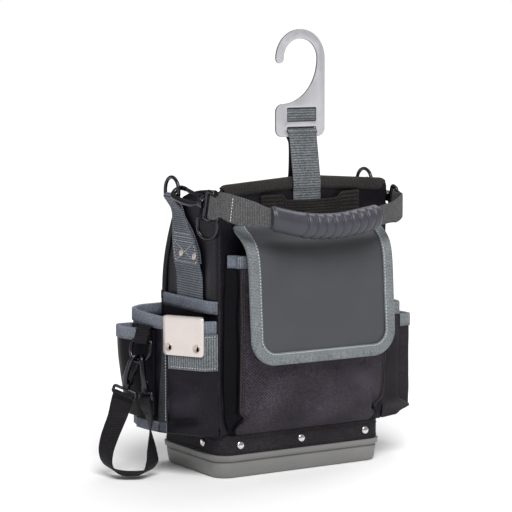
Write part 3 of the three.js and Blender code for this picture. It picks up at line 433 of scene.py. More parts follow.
def tube_mesh(
    points: Sequence[Vector],
    across: Vector,
    radius: Callable[[float], tuple[float, float]],
    *,
    closed: bool = False,
    sides: int = 14,
) -> BMesh:
    """Round bar along points that lie in one plane.

    Args:
        points: centre line.
        across: direction square to the plane of the line.
        radius: radius across and in the plane, by the share of the line that lies before.
        closed: the line closes on itself.
        sides: number of faces round the bar.

    Returns:
        The closed bar.
    """
    count = len(points)
    columns = []
    for i, at in enumerate(points):
        before = points[(i - 1) % count] if closed else points[max(i - 1, 0)]
        after = points[(i + 1) % count] if closed else points[min(i + 1, count - 1)]
        side = across.cross(after - before).normalized()
        wide, high = radius(i / max(count - 1, 1))
        turn = [2 * pi * k / sides for k in range(sides)]
        columns.append([at + across * (wide * cos(a)) + side * (high * sin(a)) for a in turn])
    return grid_mesh(list(zip(*columns)), closed_u=closed, closed_v=True, capped=not closed)


def settle(bm: BMesh, place: Matrix) -> BMesh:
    """Moves a mesh to its place.

    Args:
        bm: the mesh, in metres.
        place: the place, in millimetres.

    Returns:
        The same mesh.
    """
    metres = place.copy()
    metres.translation *= MM
    bmesh.ops.transform(bm, matrix=metres, verts=bm.verts[:])
    return bm


def lathe_mesh(profile: Sequence[tuple[float, float]], place: Matrix, sides: int = 32) -> BMesh:
    """Turns a profile of radius and height round its own Z axis.

    Args:
        profile: points of radius and height in millimetres, from the axis back to the axis.
        place: where the turned shape goes, in millimetres.
        sides: number of faces round it.

    Returns:
        The closed shape.
    """
    bm = bmesh.new()
    bm.loops.layers.uv.new("run")
    verts = [bm.verts.new((r * MM, 0, h * MM)) for r, h in profile]
    edges = [bm.edges.new(pair) for pair in zip(verts, verts[1:])]
    bmesh.ops.spin(
        bm, geom=[*verts, *edges], cent=(0, 0, 0), axis=(0, 0, 1), angle=2 * pi, steps=sides,
        use_merge=True)
    bmesh.ops.remove_doubles(bm, verts=bm.verts[:], dist=1e-7)
    bmesh.ops.recalc_face_normals(bm, faces=bm.faces[:])
    return settle(bm, place)


def plate_mesh(
    loops: Sequence[Sequence[tuple[float, float]]], place: Matrix, thickness: float, bevel: float
) -> BMesh:
    """Flat plate with softened edges from an outline and its holes.

    Args:
        loops: the outline and then each hole, as points in the plate's own X and Y.
        place: where the plate goes, in millimetres; it grows along its own Z.
        thickness: thickness of the plate.
        bevel: width of the softened edge.

    Returns:
        The closed plate.
    """
    bm = bmesh.new()
    bm.loops.layers.uv.new("run")
    edges = []
    for loop in loops:
        verts = [bm.verts.new((x * MM, y * MM, 0)) for x, y in loop]
        edges += [bm.edges.new((verts[i - 1], verts[i])) for i in range(len(verts))]
    bmesh.ops.triangle_fill(bm, edges=edges, use_beauty=True, use_dissolve=True)
    raised = bmesh.ops.extrude_face_region(bm, geom=bm.faces[:])["geom"]
    top = [part for part in raised if isinstance(part, BMVert)]
    bmesh.ops.translate(bm, vec=(0, 0, thickness * MM), verts=top)
    bmesh.ops.recalc_face_normals(bm, faces=bm.faces[:])
    bm.normal_update()
    level = [edge for edge in bm.edges if abs((edge.verts[0].co - edge.verts[1].co).z) < 1e-7]
    sharp = [edge for edge in level if edge.is_manifold and edge.calc_face_angle() > EDGE_ANGLE]
    bmesh.ops.bevel(
        bm, geom=sharp, offset=bevel * MM, offset_type="OFFSET", affect="EDGES", segments=2, profile=0.5,
        material=-1)
    return settle(bm, place)


def axes(at: Vector, x_dir: Vector, y_dir: Vector, scale: float = 1.0) -> Matrix:
    """Placement whose own X and Y run along two directions.

    Args:
        at: its origin.
        x_dir: direction of its own X.
        y_dir: direction of its own Y, square to the first.
        scale: its size.

    Returns:
        The placement.
    """
    z_dir = x_dir.cross(y_dir)
    turn = Matrix((x_dir * scale, y_dir * scale, z_dir * scale)).transposed().to_4x4()
    turn.translation = at
    return turn


def facing(at: Vector, out: Vector) -> Matrix:
    """Placement whose own Z runs along a direction."""
    return Matrix.Translation(at) @ out.to_track_quat("Z", "Y").to_matrix().to_4x4()


def join_meshes(*parts: BMesh) -> BMesh:
    """Puts several meshes into one.

    Args:
        parts: the meshes, which are used up.

    Returns:
        One mesh that holds them all.
    """
    whole = bmesh.new()
    whole.loops.layers.uv.new("run")
    for part in parts:
        mesh = bpy.data.meshes.new("part")
        part.to_mesh(mesh)
        part.free()
        whole.from_mesh(mesh)
        bpy.data.meshes.remove(mesh)
    return whole


class Shader:
    """Node tree of one material, written socket by socket."""

    def __init__(self, name: str) -> None:
        """Starts a material with a plain shader."""
        self.material: Material = bpy.data.materials.new(name)
        self.material.use_nodes = True
        self.tree = self.material.node_tree
        self.surface: Node = self.tree.nodes["Principled BSDF"]

    def feed(self, node: Node, key: str | int, value: Socket) -> None:
        """Sets a socket, or links it where the value is another node's output.

        Args:
            node: the node.
            key: name or number of its socket.
            value: plain value or output.
        """
        if isinstance(value, NodeSocket):
            self.tree.links.new(value, node.inputs[key])
        else:
            node.inputs[key].default_value = value

    def shade(self, **values: Socket) -> None:
        """Feeds the shader's own sockets, named with underscores for spaces."""
        for key, value in values.items():
            self.feed(self.surface, key.replace("_", " "), value)

    def math(self, operation: str, a: Socket, b: Socket = 0.0) -> NodeSocket:
        """Works out a value.

        Args:
            operation: name of the operation.
            a: first value.
            b: second value, for an operation of two.

        Returns:
            The result.
        """
        node = self.tree.nodes.new("ShaderNodeMath")
        node.operation = operation
        self.feed(node, 0, a)
        self.feed(node, 1, b)
        return node.outputs[0]

    def times(self, a: Socket, b: Socket) -> NodeSocket:
        """Product of two values."""
        return self.math("MULTIPLY", a, b)

    def blend(self, a: Socket, share_a: float, b: Socket, share_b: float) -> NodeSocket:
        """Sum of two values, each by its share."""
        return self.math("ADD", self.times(a, share_a), self.times(b, share_b))

    def coordinates(self, own_map: bool) -> NodeSocket:
        """Place on the piece: its own map in metres, or its place in the frame."""
        node = self.tree.nodes.new("ShaderNodeTexCoord")
        return node.outputs["UV" if own_map else "Object"]

    def lift(self) -> NodeSocket:
        """Height of the cloth's folds in millimetres."""
        node = self.tree.nodes.new("ShaderNodeAttribute")
        node.attribute_name = "lift"
        return node.outputs["Fac"]

    def parts(self, vector: NodeSocket) -> tuple[NodeSocket, NodeSocket, NodeSocket]:
        """Three numbers of a vector."""
        node = self.tree.nodes.new("ShaderNodeSeparateXYZ")
        self.feed(node, 0, vector)
        return node.outputs[0], node.outputs[1], node.outputs[2]

    def grain(
        self, vector: NodeSocket, size: float, detail: float = 3.0, stretch: Colour = (1, 1, 1)
    ) -> NodeSocket:
        """Cloudy noise.

        Args:
            vector: coordinates in metres.
            size: size of its clouds in millimetres.
            detail: number of finer layers.
            stretch: how much finer it is along each axis.

        Returns:
            A value round a half.
        """
        mapping = self.tree.nodes.new("ShaderNodeMapping")
        self.feed(mapping, "Vector", vector)
        self.feed(mapping, "Scale", stretch)
        node = self.tree.nodes.new("ShaderNodeTexNoise")
        self.feed(node, "Vector", mapping.outputs[0])
        self.feed(node, "Scale", 1 / (size * MM))
        self.feed(node, "Detail", detail)
        return node.outputs["Fac"]

    def wave(self, value: NodeSocket, pitch: float) -> NodeSocket:
        """Sine of a length in metres that repeats every pitch, in millimetres."""
        return self.math("SINE", self.times(value, 2 * pi / (pitch * MM)))

    def mix(self, share: Socket, a: Colour, b: Colour) -> NodeSocket:
        """Colour between two others.

        Args:
            share: 0 for the first colour, 1 for the second.
            a: first colour, as a screen shows it, 0 to 255.
            b: second colour.

        Returns:
            The mixed colour.
        """
        node = self.tree.nodes.new("ShaderNodeMix")
        node.data_type = "RGBA"
        self.feed(node, "Factor", share)
        self.feed(node, 6, (*linear(*a), 1))
        self.feed(node, 7, (*linear(*b), 1))
        return node.outputs[2]

    def contrast(self, value: NodeSocket, gain: float) -> NodeSocket:
        """Value round a half, spread by a gain and held from 0 to 1."""
        node = self.math("ADD", self.times(value, gain), 0.5 - 0.5 * gain)
        node.node.use_clamp = True
        return node

    def between(self, value: NodeSocket, low: float, high: float) -> NodeSocket:
        """Value from 0 to 1 turned to another range."""
        return self.math("ADD", self.times(value, high - low), low)

    def relief(self, height: NodeSocket, depth: float) -> None:
        """Raises the surface.

        Args:
            height: height from 0 to 1.
            depth: the full height in millimetres.
        """
        node = self.tree.nodes.new("ShaderNodeBump")
        self.feed(node, "Height", height)
        self.feed(node, "Distance", depth * MM)
        self.feed(node, "Strength", 1.0)
        self.shade(Normal=node.outputs[0])


@dataclass(frozen=True)
class Finish:
    """Finish of a piece, with its dark and light screen colours and the record's slot that it stands for."""

    name: str
    slot: str
    colour: Colour
    light: Colour
    roughness: float

    def make(self) -> Material:
        """Material of this finish."""
        raise NotImplementedError


@dataclass(frozen=True)
class WovenCloth(Finish):
    """Plain-woven cloth: threads over and under at a pitch, cloudy, a little darker low down, painted light
    and shade on folds.
    """

    pitch: float = 1.5
    depth: float = 0.22
    sheen: float = 0.04
    specular: float = 0.12
    low: float = 1.0
    # strength of the painted light and shade that follows the height of the folds
    painted_fold_light: float = 0.12

    def make(self) -> Material:
        """Makes the material.

        Returns:
            The material.
        """
        shader = Shader(self.name)
        u, v, _ = shader.parts(shader.coordinates(own_map=True))
        weave = shader.times(shader.wave(u, 2 * self.pitch), shader.wave(v, 2 * self.pitch))
        height = shader.between(weave, 0.5, 1.0)
        place = shader.coordinates(own_map=False)
        cloud = shader.grain(place, 45, 4)
        fibre = shader.contrast(shader.grain(place, 2.0, 2), 2.2)
        share = shader.times(shader.blend(height, 0.45, fibre, 0.5), shader.between(cloud, 0.2, 1.5))
        # painted light and shade: colour lighter where the cloth is raised, darker where it sinks
        folds = shader.math("ADD", shader.times(shader.lift(), self.painted_fold_light), 1.0)
        share = shader.times(share, shader.math("MAXIMUM", folds, 0.2))
        above_floor = shader.math("MINIMUM", shader.times(shader.parts(place)[2], 6.0), 1.0)
        share = shader.times(share, shader.between(above_floor, self.low, 1.0))
        shader.shade(
            Base_Color=shader.mix(share, self.colour, self.light),
            Roughness=shader.between(cloud, self.roughness - 0.08, self.roughness + 0.08),
            Specular_IOR_Level=self.specular, Sheen_Weight=self.sheen, Sheen_Roughness=0.45)
        shader.relief(shader.math("ADD", height, shader.times(fibre, 0.5)), self.depth)
        return shader.material


@dataclass(frozen=True)
class Webbing(Finish):
    """Woven strap with ribs one after another and fine yarns across them."""

    rib: float = 3.1
    depth: float = 0.35
    run: RibRun = RibRun.ALONG
    sheen: float = 0.04

    def make(self) -> Material:
        """Makes the material.

        Returns:
            The material.
        """
        shader = Shader(self.name)
        lengths = shader.parts(shader.coordinates(own_map=True))
        ribs = shader.math("ABSOLUTE", shader.wave(lengths[self.run.value], 2 * self.rib))
        yarns = shader.wave(lengths[1 - self.run.value], 1.3)
        rounded = shader.math("POWER", ribs, 0.6)
        place = shader.coordinates(own_map=False)
        fibre = shader.contrast(shader.grain(place, 1.5, 2), 2.6)
        cloud = shader.grain(place, 30, 3)
        share = shader.times(rounded, shader.between(fibre, 0.4, 1.2))
        share = shader.times(share, shader.between(cloud, 0.6, 1.35))
        shader.shade(
            Base_Color=shader.mix(share, self.colour, self.light), Roughness=self.roughness,
            Specular_IOR_Level=0.14, Sheen_Weight=self.sheen, Sheen_Roughness=0.4)
        fine = shader.blend(yarns, 0.12, fibre, 0.35)
        shader.relief(shader.math("ADD", rounded, fine), self.depth)
        return shader.material


@dataclass(frozen=True)
class Smooth(Finish):
    """Close-grained sheet or moulding with faint clouds and a fine grain."""

    grain: float = 0.9
    depth: float = 0.05
    cloud: float = 70.0
    specular: float = 0.4

    def make(self) -> Material:
        """Makes the material.

        Returns:
            The material.
        """
        shader = Shader(self.name)
        place = shader.coordinates(own_map=False)
        cloud = shader.grain(place, self.cloud, 4)
        grain = shader.grain(place, self.grain, 3)
        share = shader.blend(cloud, 0.75, grain, 0.25)
        shader.shade(
            Base_Color=shader.mix(share, self.colour, self.light),
            Roughness=shader.between(cloud, self.roughness - 0.07, self.roughness + 0.07),
            Specular_IOR_Level=self.specular)
        shader.relief(grain, self.depth)
        return shader.material


@dataclass(frozen=True)
class Metal(Finish):
    """Metal with a drawn or blasted grain and rubbed patches."""

    metallic: float = 1.0
    grain: float = 0.8
    stretch: Colour = (1, 1, 1)
    depth: float = 0.02

    def make(self) -> Material:
        """Makes the material.

        Returns:
            The material.
        """
        shader = Shader(self.name)
        place = shader.coordinates(own_map=False)
        grain = shader.grain(place, self.grain, 3, self.stretch)
        rubbed = shader.grain(place, 14, 4)
        share = shader.blend(rubbed, 0.6, grain, 0.4)
        shader.shade(
            Base_Color=shader.mix(share, self.colour, self.light), Metallic=self.metallic,
            Roughness=shader.between(rubbed, self.roughness - 0.07, self.roughness + 0.1))
        shader.relief(grain, self.depth)
        return shader.material


NYLON = WovenCloth(
    "black_nylon_weave", "black_nylon", (8, 7, 10), (94, 86, 98), 0.7, pitch=1.9, low=0.55)
SIDE_NYLON = WovenCloth(
    "black_side_weave", "black_nylon", (4, 4, 6), (36, 32, 42), 0.42, pitch=1.6, sheen=0.0,
    specular=0.18, painted_fold_light=0.26)
# darker copy of the black nylon: painted shade on the bellows pleats and the small left pocket
PAINTED_SHADE_NYLON = WovenCloth(
    "black_weave_painted_shade", "black_nylon", (3, 3, 5), (22, 20, 26), 0.5, pitch=1.6, sheen=0.0,
    specular=0.08)
SKIRT_NYLON = WovenCloth(
    "black_skirt_weave", "black_nylon", (10, 9, 10), (66, 62, 67), 0.7, pitch=1.7, sheen=0.0,
    specular=0.07)
BLACK_WEB = Webbing(
    "black_ribbed_web", "black_webbing", (3, 3, 4), (34, 31, 35), 0.6, rib=2.7, sheen=0)
PANEL_WEB = Webbing(
    "black_panel_web", "black_webbing", (4, 4, 4), (50, 47, 46), 0.8, rib=3.2, run=RibRun.ACROSS)
RIM_TAPE = Webbing(
    "black_rim_tape", "black_webbing", (15, 14, 14), (66, 62, 62), 0.85, rib=1.9, depth=0.2)
GREY_WEB = Webbing(
    "grey_ribbed_web", "grey_webbing", (34, 37, 40), (130, 135, 139), 0.75, rib=2.9)
STRAP_WEB = Webbing(
    "grey_side_web", "grey_webbing", (26, 28, 33), (124, 130, 139), 0.78, rib=2.9, depth=0.4)
GREY_TWILL = Webbing(
    "grey_handle_web", "grey_webbing", (35, 35, 37), (103, 103, 104), 0.8, rib=1.9, depth=0.25)
GREY_TAPE = Webbing(
    "grey_edge_tape", "grey_webbing", (63, 67, 69), (141, 147, 150), 0.8, rib=1.7, depth=0.18)
SIDE_TAPE = Webbing(
    "grey_pocket_tape", "grey_webbing", (52, 55, 63), (134, 140, 152), 0.8, rib=1.7, depth=0.18)
EDGE_TAPE = Webbing(
    "dark_edge_tape", "grey_webbing", (16, 17, 19), (66, 69, 74), 0.8, rib=1.7, depth=0.18)
FLAP_CLOTH = Smooth("flap_coated_cloth", "coated_cloth", (54, 56, 59), (76, 78, 81), 0.5)
TRAY_PLASTIC = Smooth(
    "tray_moulded_plastic", "grey_plastic", (107, 107, 106), (129, 128, 127), 0.45)
GRIP_RUBBER = Smooth(
    "grip_soft_rubber", "grip_rubber", (40, 40, 48), (72, 71, 82), 0.38, grain=0.6, specular=0.5)
HOOK_STEEL = Metal(
    "hook_blasted_steel", "steel", (172, 172, 176), (216, 216, 220), 0.42, metallic=0.65,
    grain=1.6, depth=0.06)
# darker copy of the hook's steel for its side faces: painted shade
EDGE_SHADE_STEEL = Metal("hook_edge_painted_shade", "steel", (92, 92, 97), (128, 128, 133), 0.4, metallic=0.65)
RIVET_STEEL = Metal("rivet_polished_steel", "steel", (200, 198, 198), (234, 232, 230), 0.16)
COPPER_RIVET = Metal(
    "rivet_matt_copper", "steel", (176, 160, 152), (214, 200, 192), 0.45, metallic=0.6)
BRIGHT_PLATE = Metal(
    "clip_brushed_plate", "bright_plate", (206, 196, 191), (238, 229, 224), 0.42, metallic=0.5,
    stretch=(1, 1, 9))
EYELET = Metal(
    "clip_eyelet_metal", "bright_plate", (176, 160, 152), (214, 200, 192), 0.35, metallic=0.7)
GUNMETAL = Metal("dark_plated_metal", "gunmetal", (34, 33, 37), (80, 78, 84), 0.24)
# near-black sheet set in each eyelet's hole: painted shade
PAINTED_HOLE_SHADE = Metal("eyelet_hole_painted_shade", "gunmetal", (8, 7, 8), (16, 15, 16), 0.6)
PALE_THREAD = Smooth(
    "pale_thread", "grey_webbing", (200, 202, 204), (232, 234, 236), 0.7, grain=0.3)
DARK_THREAD = Smooth("dark_thread", "black_webbing", (6, 6, 7), (16, 15, 18), 0.8, grain=0.3)


@cache
def material_of(finish: Finish) -> Material:
    """Material of a finish, made once."""
    return finish.make()


def piece(
    bm: BMesh,
    name: str,
    finish: Finish,
    *nodes: str,
    body: str = POUCH,
    wall: float = 0.0,
    crease: float = 180.0,
) -> Object:
    """Makes a finished piece of a mesh and lets it ride on its body.

    Args:
        bm: the mesh, which is used up.
        name: name of the piece.
        finish: its finish.
        nodes: CAD nodes that it stands for.
        body: CAD body that it rides on.
        wall: thickness that an open sheet gets behind its outer face.
        crease: angle in degrees above which an edge stays sharp.

    Returns:
        The new object.
    """
    mesh = bpy.data.meshes.new(name)
    bm.to_mesh(mesh)
    bm.free()
    mesh.shade_smooth()
    if crease < 180:
        mesh.set_sharp_from_angle(angle=radians(crease))
    mesh.materials.append(material_of(finish))
    made = bpy.data.objects.new(name, mesh)
    bpy.context.scene.collection.objects.link(made)
    if wall:
        shell = made.modifiers.new("thickness", "SOLIDIFY")
        shell.thickness = wall * MM
        shell.offset = -1
        shell.thickness_clamp = 1.0
    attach(made, body)
    if nodes:
        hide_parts(*nodes)
    log.info("%s: %d faces, for %s", name, len(mesh.polygons), ", ".join(nodes) or "detail")
    return made


def rim_tape(
    surface: Surface,
    us: Sequence[float],
    thickness: float,
    name: str,
    finish: Finish,
    node: str,
    *,
    depth: float = 13.0,
    slack: float = 0.0,
) -> None:
    """Binds the upper edge of a cloth wall with tape.

    Args:
        surface: outer face of the wall, with its rim at v = 1.
        us: places along the rim.
        thickness: thickness of the wall.
        name: name of the tape.
        finish: its finish.
        node: CAD node that it stands for.
        depth: how far the tape reaches down each face.
        slack: extra room between the tape and the wall.
    """
    tape = binding_mesh(surface, [(u, 1.0) for u in us], thickness, depth=depth, slack=slack)
    piece(tape, name, finish, node, wall=BINDING_LEG)


class Seam:
    """Rows of separate stitches of one thread."""

    def __init__(self, name: str, finish: Finish) -> None:
        """Starts with no stitch."""
        self.name = name
        self.finish = finish
        self.bm = bmesh.new()
        self.bm.loops.layers.uv.new("run")

    def sew(
        self,
        points: Sequence[Vector],
        outs: Sequence[Vector],
        pitch: float = 3.4,
        length: float = 2.4,
        width: float = 0.7,
    ) -> None:
        """Adds a row of stitches along a line.

        Args:
            points: the line.
            outs: direction off the cloth at each point.
            pitch: distance from stitch to stitch.
            length: length of a stitch.
            width: width of the thread.
        """
        track = Track(list(points))
        for i in range(int(track.length / pitch)):
            run = (i + 0.5) * pitch
            k, t = track.place(run)
            out = outs[k].lerp(outs[k + 1], t).normalized()
            ahead = track.along(run)
            side = out.cross(ahead).normalized()
            place = axes(track.at(run) + out * width * 0.2, ahead, side)
            shape = Matrix.Diagonal((length / 2, width / 2, width * 0.4, 1))
            metres = Matrix.Scale(MM, 4) @ place @ shape
            bmesh.ops.create_uvsphere(self.bm, u_segments=6, v_segments=4, radius=1.0, matrix=metres)

    def finish_piece(self) -> Object:
        """Makes one piece of all its stitches."""
        return piece(self.bm, self.name, self.finish)


def rounded_outline(row: LevelRow, steps: int = 9, side_steps: int = 8) -> list[Vector]:
    """Rounded oblong at a height, anticlockwise seen from above.

    Args:
        row: its sizes and height.
        steps: number of steps round a corner.
        side_steps: number of steps along a side.

    Returns:
        Points of the closed outline.
    """
    corners = []
    for quarter, (sx, sy) in enumerate(((1, 1), (-1, 1), (-1, -1), (1, -1))):
        centre = Vector((sx * (row.half_x - row.corner), sy * (row.half_y - row.corner), row.z))
        corners.append([centre + flat(90 * (quarter + t)) * row.corner for t in spread(steps)])
    outline = []
    for i, corner in enumerate(corners):
        start = corners[(i + 1) % 4][0]
        outline += corner
        outline += [corner[-1].lerp(start, t) for t in spread(side_steps)[1:-1]]
    return outline


@dataclass
class Tray:
    """Moulded tray under the pouch: outside, lip and hollow."""

    outside: tuple[LevelRow, ...] = (
        LevelRow(0, 108.6, 62.1, 16), LevelRow(0.5, 110.2, 63.7, 17), LevelRow(2.4, 111.8, 65.3, 18),
        LevelRow(10, 112.9, 66.8, 19), LevelRow(17.6, 113.8, 68.1, 20), LevelRow(18.4, 113.4, 67.7, 20),
        LevelRow(18.8, 112.7, 67, 19.4), LevelRow(19.8, 112.7, 67, 19.4), LevelRow(20.2, 114.4, 68.8, 20.4),
        LevelRow(20.9, 115.4, 69.8, 21), LevelRow(26.2, 116, 70.4, 21), LevelRow(27, 115.3, 69.7, 20.6))
    inside: tuple[LevelRow, ...] = (
        LevelRow(27, 111, 65, 18.6), LevelRow(26.2, 110.1, 64.1, 18), LevelRow(8, 109.6, 63.6, 18),
        LevelRow(4.4, 108.4, 62.4, 17), LevelRow(3.5, 105, 59, 15))
    foot_rim: float = 5.0
    foot_rise: float = 1.2

    def build(self) -> None:
        """Makes the tray with a floor and a rim under it."""
        rows = [rounded_outline(row) for row in (*self.outside, *self.inside)]
        bm = grid_mesh(rows, closed_u=True, capped=True)
        under = min(bm.faces, key=lambda face: face.calc_center_median().z)
        bmesh.ops.inset_region(bm, faces=[under], thickness=self.foot_rim * MM, depth=0)
        bmesh.ops.inset_region(
            bm, faces=[under], thickness=self.foot_rise * MM, depth=-self.foot_rise * MM)
        piece(bm, "tray", TRAY_PLASTIC, "base_tray", crease=50)


@dataclass
class Skirt:
    """Cloth band riveted round the top of the tray."""

    half_x: float = 114.0
    half_y: float = 68.6
    corner: float = 20.0
    thickness: float = 2.6
    foot: float = 27.4
    top: float = 50.0
    hem: float = 46.6
    rivet_z: float = 38.5
    rivet_radius: float = 4.6
    front_rivets: tuple[float, ...] = (-86.0, -2.5, 88.0)
    side_rivet_y: float = -32.0

    def level(self, z: float, out: float) -> list[Vector]:
        """Outline of the band at a height, set out by a little."""
        return rounded_outline(LevelRow(z, self.half_x + out, self.half_y + out, self.corner + out), 9, 24)

    def build(self) -> None:
        """Makes the band, its hem stitches and its rivets."""
        turn = {self.foot: 0.0, 28.2: 0.25, self.hem - 0.6: 0.1, self.hem: -0.35, self.hem + 0.8: 0.15}
        heights = sorted({*turn, *spread(6, 30, 45), 48.6, 49.6, self.top})
        bm = grid_mesh([self.level(z, turn.get(z, 0.1)) for z in heights], closed_u=True)
        swell(bm, lambda p: ripple(p, 34, 0.5) * smoothstep(50 - p.z, 0, 12) - 0.25)
        piece(bm, "skirt_band", SKIRT_NYLON, "skirt", wall=self.thickness)
        seam = Seam("skirt_stitches", DARK_THREAD)
        for z in (self.hem - 1.6, self.foot + 2.6):
            line = self.level(z, 0.1)
            middle = Vector((0, 0, z))
            seam.sew(line, [(p - middle).normalized() for p in line], width=0.8)
        seam.finish_piece()
        for i, x in enumerate(self.front_rivets):
            at = Vector((x, -self.half_y - GAP, self.rivet_z))
            rivet(f"skirt_rivet_front_{i + 1}", at, Vector((0, -1, 0.15)), self.rivet_radius)
        for hand in Hand:
            at = Vector((hand.value * (self.half_x + GAP), self.side_rivet_y, self.rivet_z))
            rivet(f"skirt_rivet_{hand.name.lower()}", at, Vector((hand.value, 0, 0)), self.rivet_radius)


def rivet(node: str, at: Vector, out: Vector, radius: float, finish: Finish = RIVET_STEEL) -> None:
    """Domed rivet head with a rolled rim.

    Args:
        node: CAD node that it stands for.
        at: middle of its flat back.
        out: direction off the cloth.
        radius: radius of the head.
        finish: finish of the metal.
    """
    profile = [(0, 0), (radius, 0), (radius, 0.45)]
    profile += [(radius * cos(a), 0.45 + 1.6 * sin(a)) for a in spread(7, 0.1, pi / 2 - 0.08)]
    profile.append((0, 2.05))
    piece(lathe_mesh(profile, facing(at, out.normalized())), f"{node}_head", finish, node, crease=50)


@dataclass(frozen=True)
class BodyForm:
    """Shape of the tall panel and of the bay wall behind it."""

    foot: float = 50.35
    peak: float = 345.0
    shoulder: float = 337.0
    panel_corner: float = 9.0
    thickness: float = 3.6
    front_foot: float = -66.5
    lean: float = 5.5
    half_x: float = 113.0
    front: float = -65.0
    rear: float = 69.0
    corner: float = 8.0
    rim: float = 205.0
    rise: float = 133.0
    front_drop: float = 7.0
    flare: float = 11.5
    tuck: float = 1.5

    @property
    def side(self) -> float:
        """Length of a side wall from the panel to the rear corner."""
        return self.rear - self.corner - self.front

    @property
    def arc(self) -> float:
        """Length round a rear corner."""
        return self.corner * pi / 2

    @property
    def total(self) -> float:
        """Length of the whole wall, from the right front round to the left front."""
        return 2 * (self.side + self.arc) + 2 * (self.half_x - self.corner)

    def panel_front(self, z: float) -> float:
        """Y of the panel's front face at a height."""
        return self.front_foot - self.lean * max((z - self.foot) / 290, 0) ** 1.3

    def flare_at(self, y: float, z: float) -> float:
        """How far the side walls lean out."""
        spread_out = bump(y - 4, 40) + 0.12
        return self.flare * clamp((z - 215) / 115, 0, 1.2) ** 1.5 * spread_out

    def tuck_at(self, z: float) -> float:
        """How far the walls are drawn in toward the tray."""
        return self.tuck * (1 - smoothstep(z, 50, 100))

    def panel(self, u: float, v: float) -> Vector:
        """Front face of the panel: u from the left edge to the right, v from the foot to the rim.

        Args:
            u: -1 to 1.
            v: 0 to 1.

        Returns:
            The place.
        """
        across = abs(clamp(u, -1, 1))
        past = max(across * self.half_x - (self.half_x - self.panel_corner), 0)
        drop = self.panel_corner - sqrt(max(self.panel_corner**2 - past**2, 0))
        z = lerp(self.foot, lerp(self.peak, self.shoulder, across) - drop, v)
        half = self.half_x + self.flare_at(self.front, z) - self.tuck_at(z)
        return Vector((u * half, self.panel_front(z), z))

    def wall_at(self, run: float, z: float, off: float = 0.0) -> Vector:
        """Outer face of the bay wall.

        Args:
            run: length from the right front corner, round the back to the left one.
            z: height.
            off: distance out from the face.

        Returns:
            The place.
        """
        hand = 1 if run < self.total / 2 else -1
        near = min(run, self.total - run)
        if near <= self.side:
            front = self.panel_front(z) + self.thickness + GAP
            plan = Vector((hand * self.half_x, lerp(front, self.rear - self.corner, near / self.side), z))
            out = Vector((hand, 0, 0))
        else:
            turn = min((near - self.side) / self.corner, pi / 2)
            past = max(near - self.side - self.arc, 0)
            out = Vector((hand * cos(turn), sin(turn), 0))
            centre = Vector((hand * (self.half_x - self.corner - past), self.rear - self.corner, z))
            plan = centre + out * self.corner
        return plan + out * (self.flare_at(plan.y, z) - self.tuck_at(z) + off)

    def wall_rim(self, run: float) -> float:
        """Height of the bay wall's rim: a quarter ellipse down each side, level along the back."""
        t = clamp(min(run, self.total - run) / self.side, 0, 1)
        drop = self.front_drop * bump(t, 0.35)
        return self.rim + self.rise * sqrt(max(1 - t * t, 0)) - drop

    def wall(self, run: float, v: float) -> Vector:
        """Outer face of the bay wall, v from its foot to its rim."""
        return self.wall_at(run, lerp(self.foot, self.wall_rim(run), v))

    def left_side(self, y: float, z: float, off: float) -> Vector:
        """Place off the left side wall."""
        return self.wall_at(self.total - (y - self.front), z, off)

    def wall_x(self, y: float, z: float) -> float:
        """Distance of a side wall's face from the middle."""
        return -self.left_side(y, z, 0).x


FORM = BodyForm()


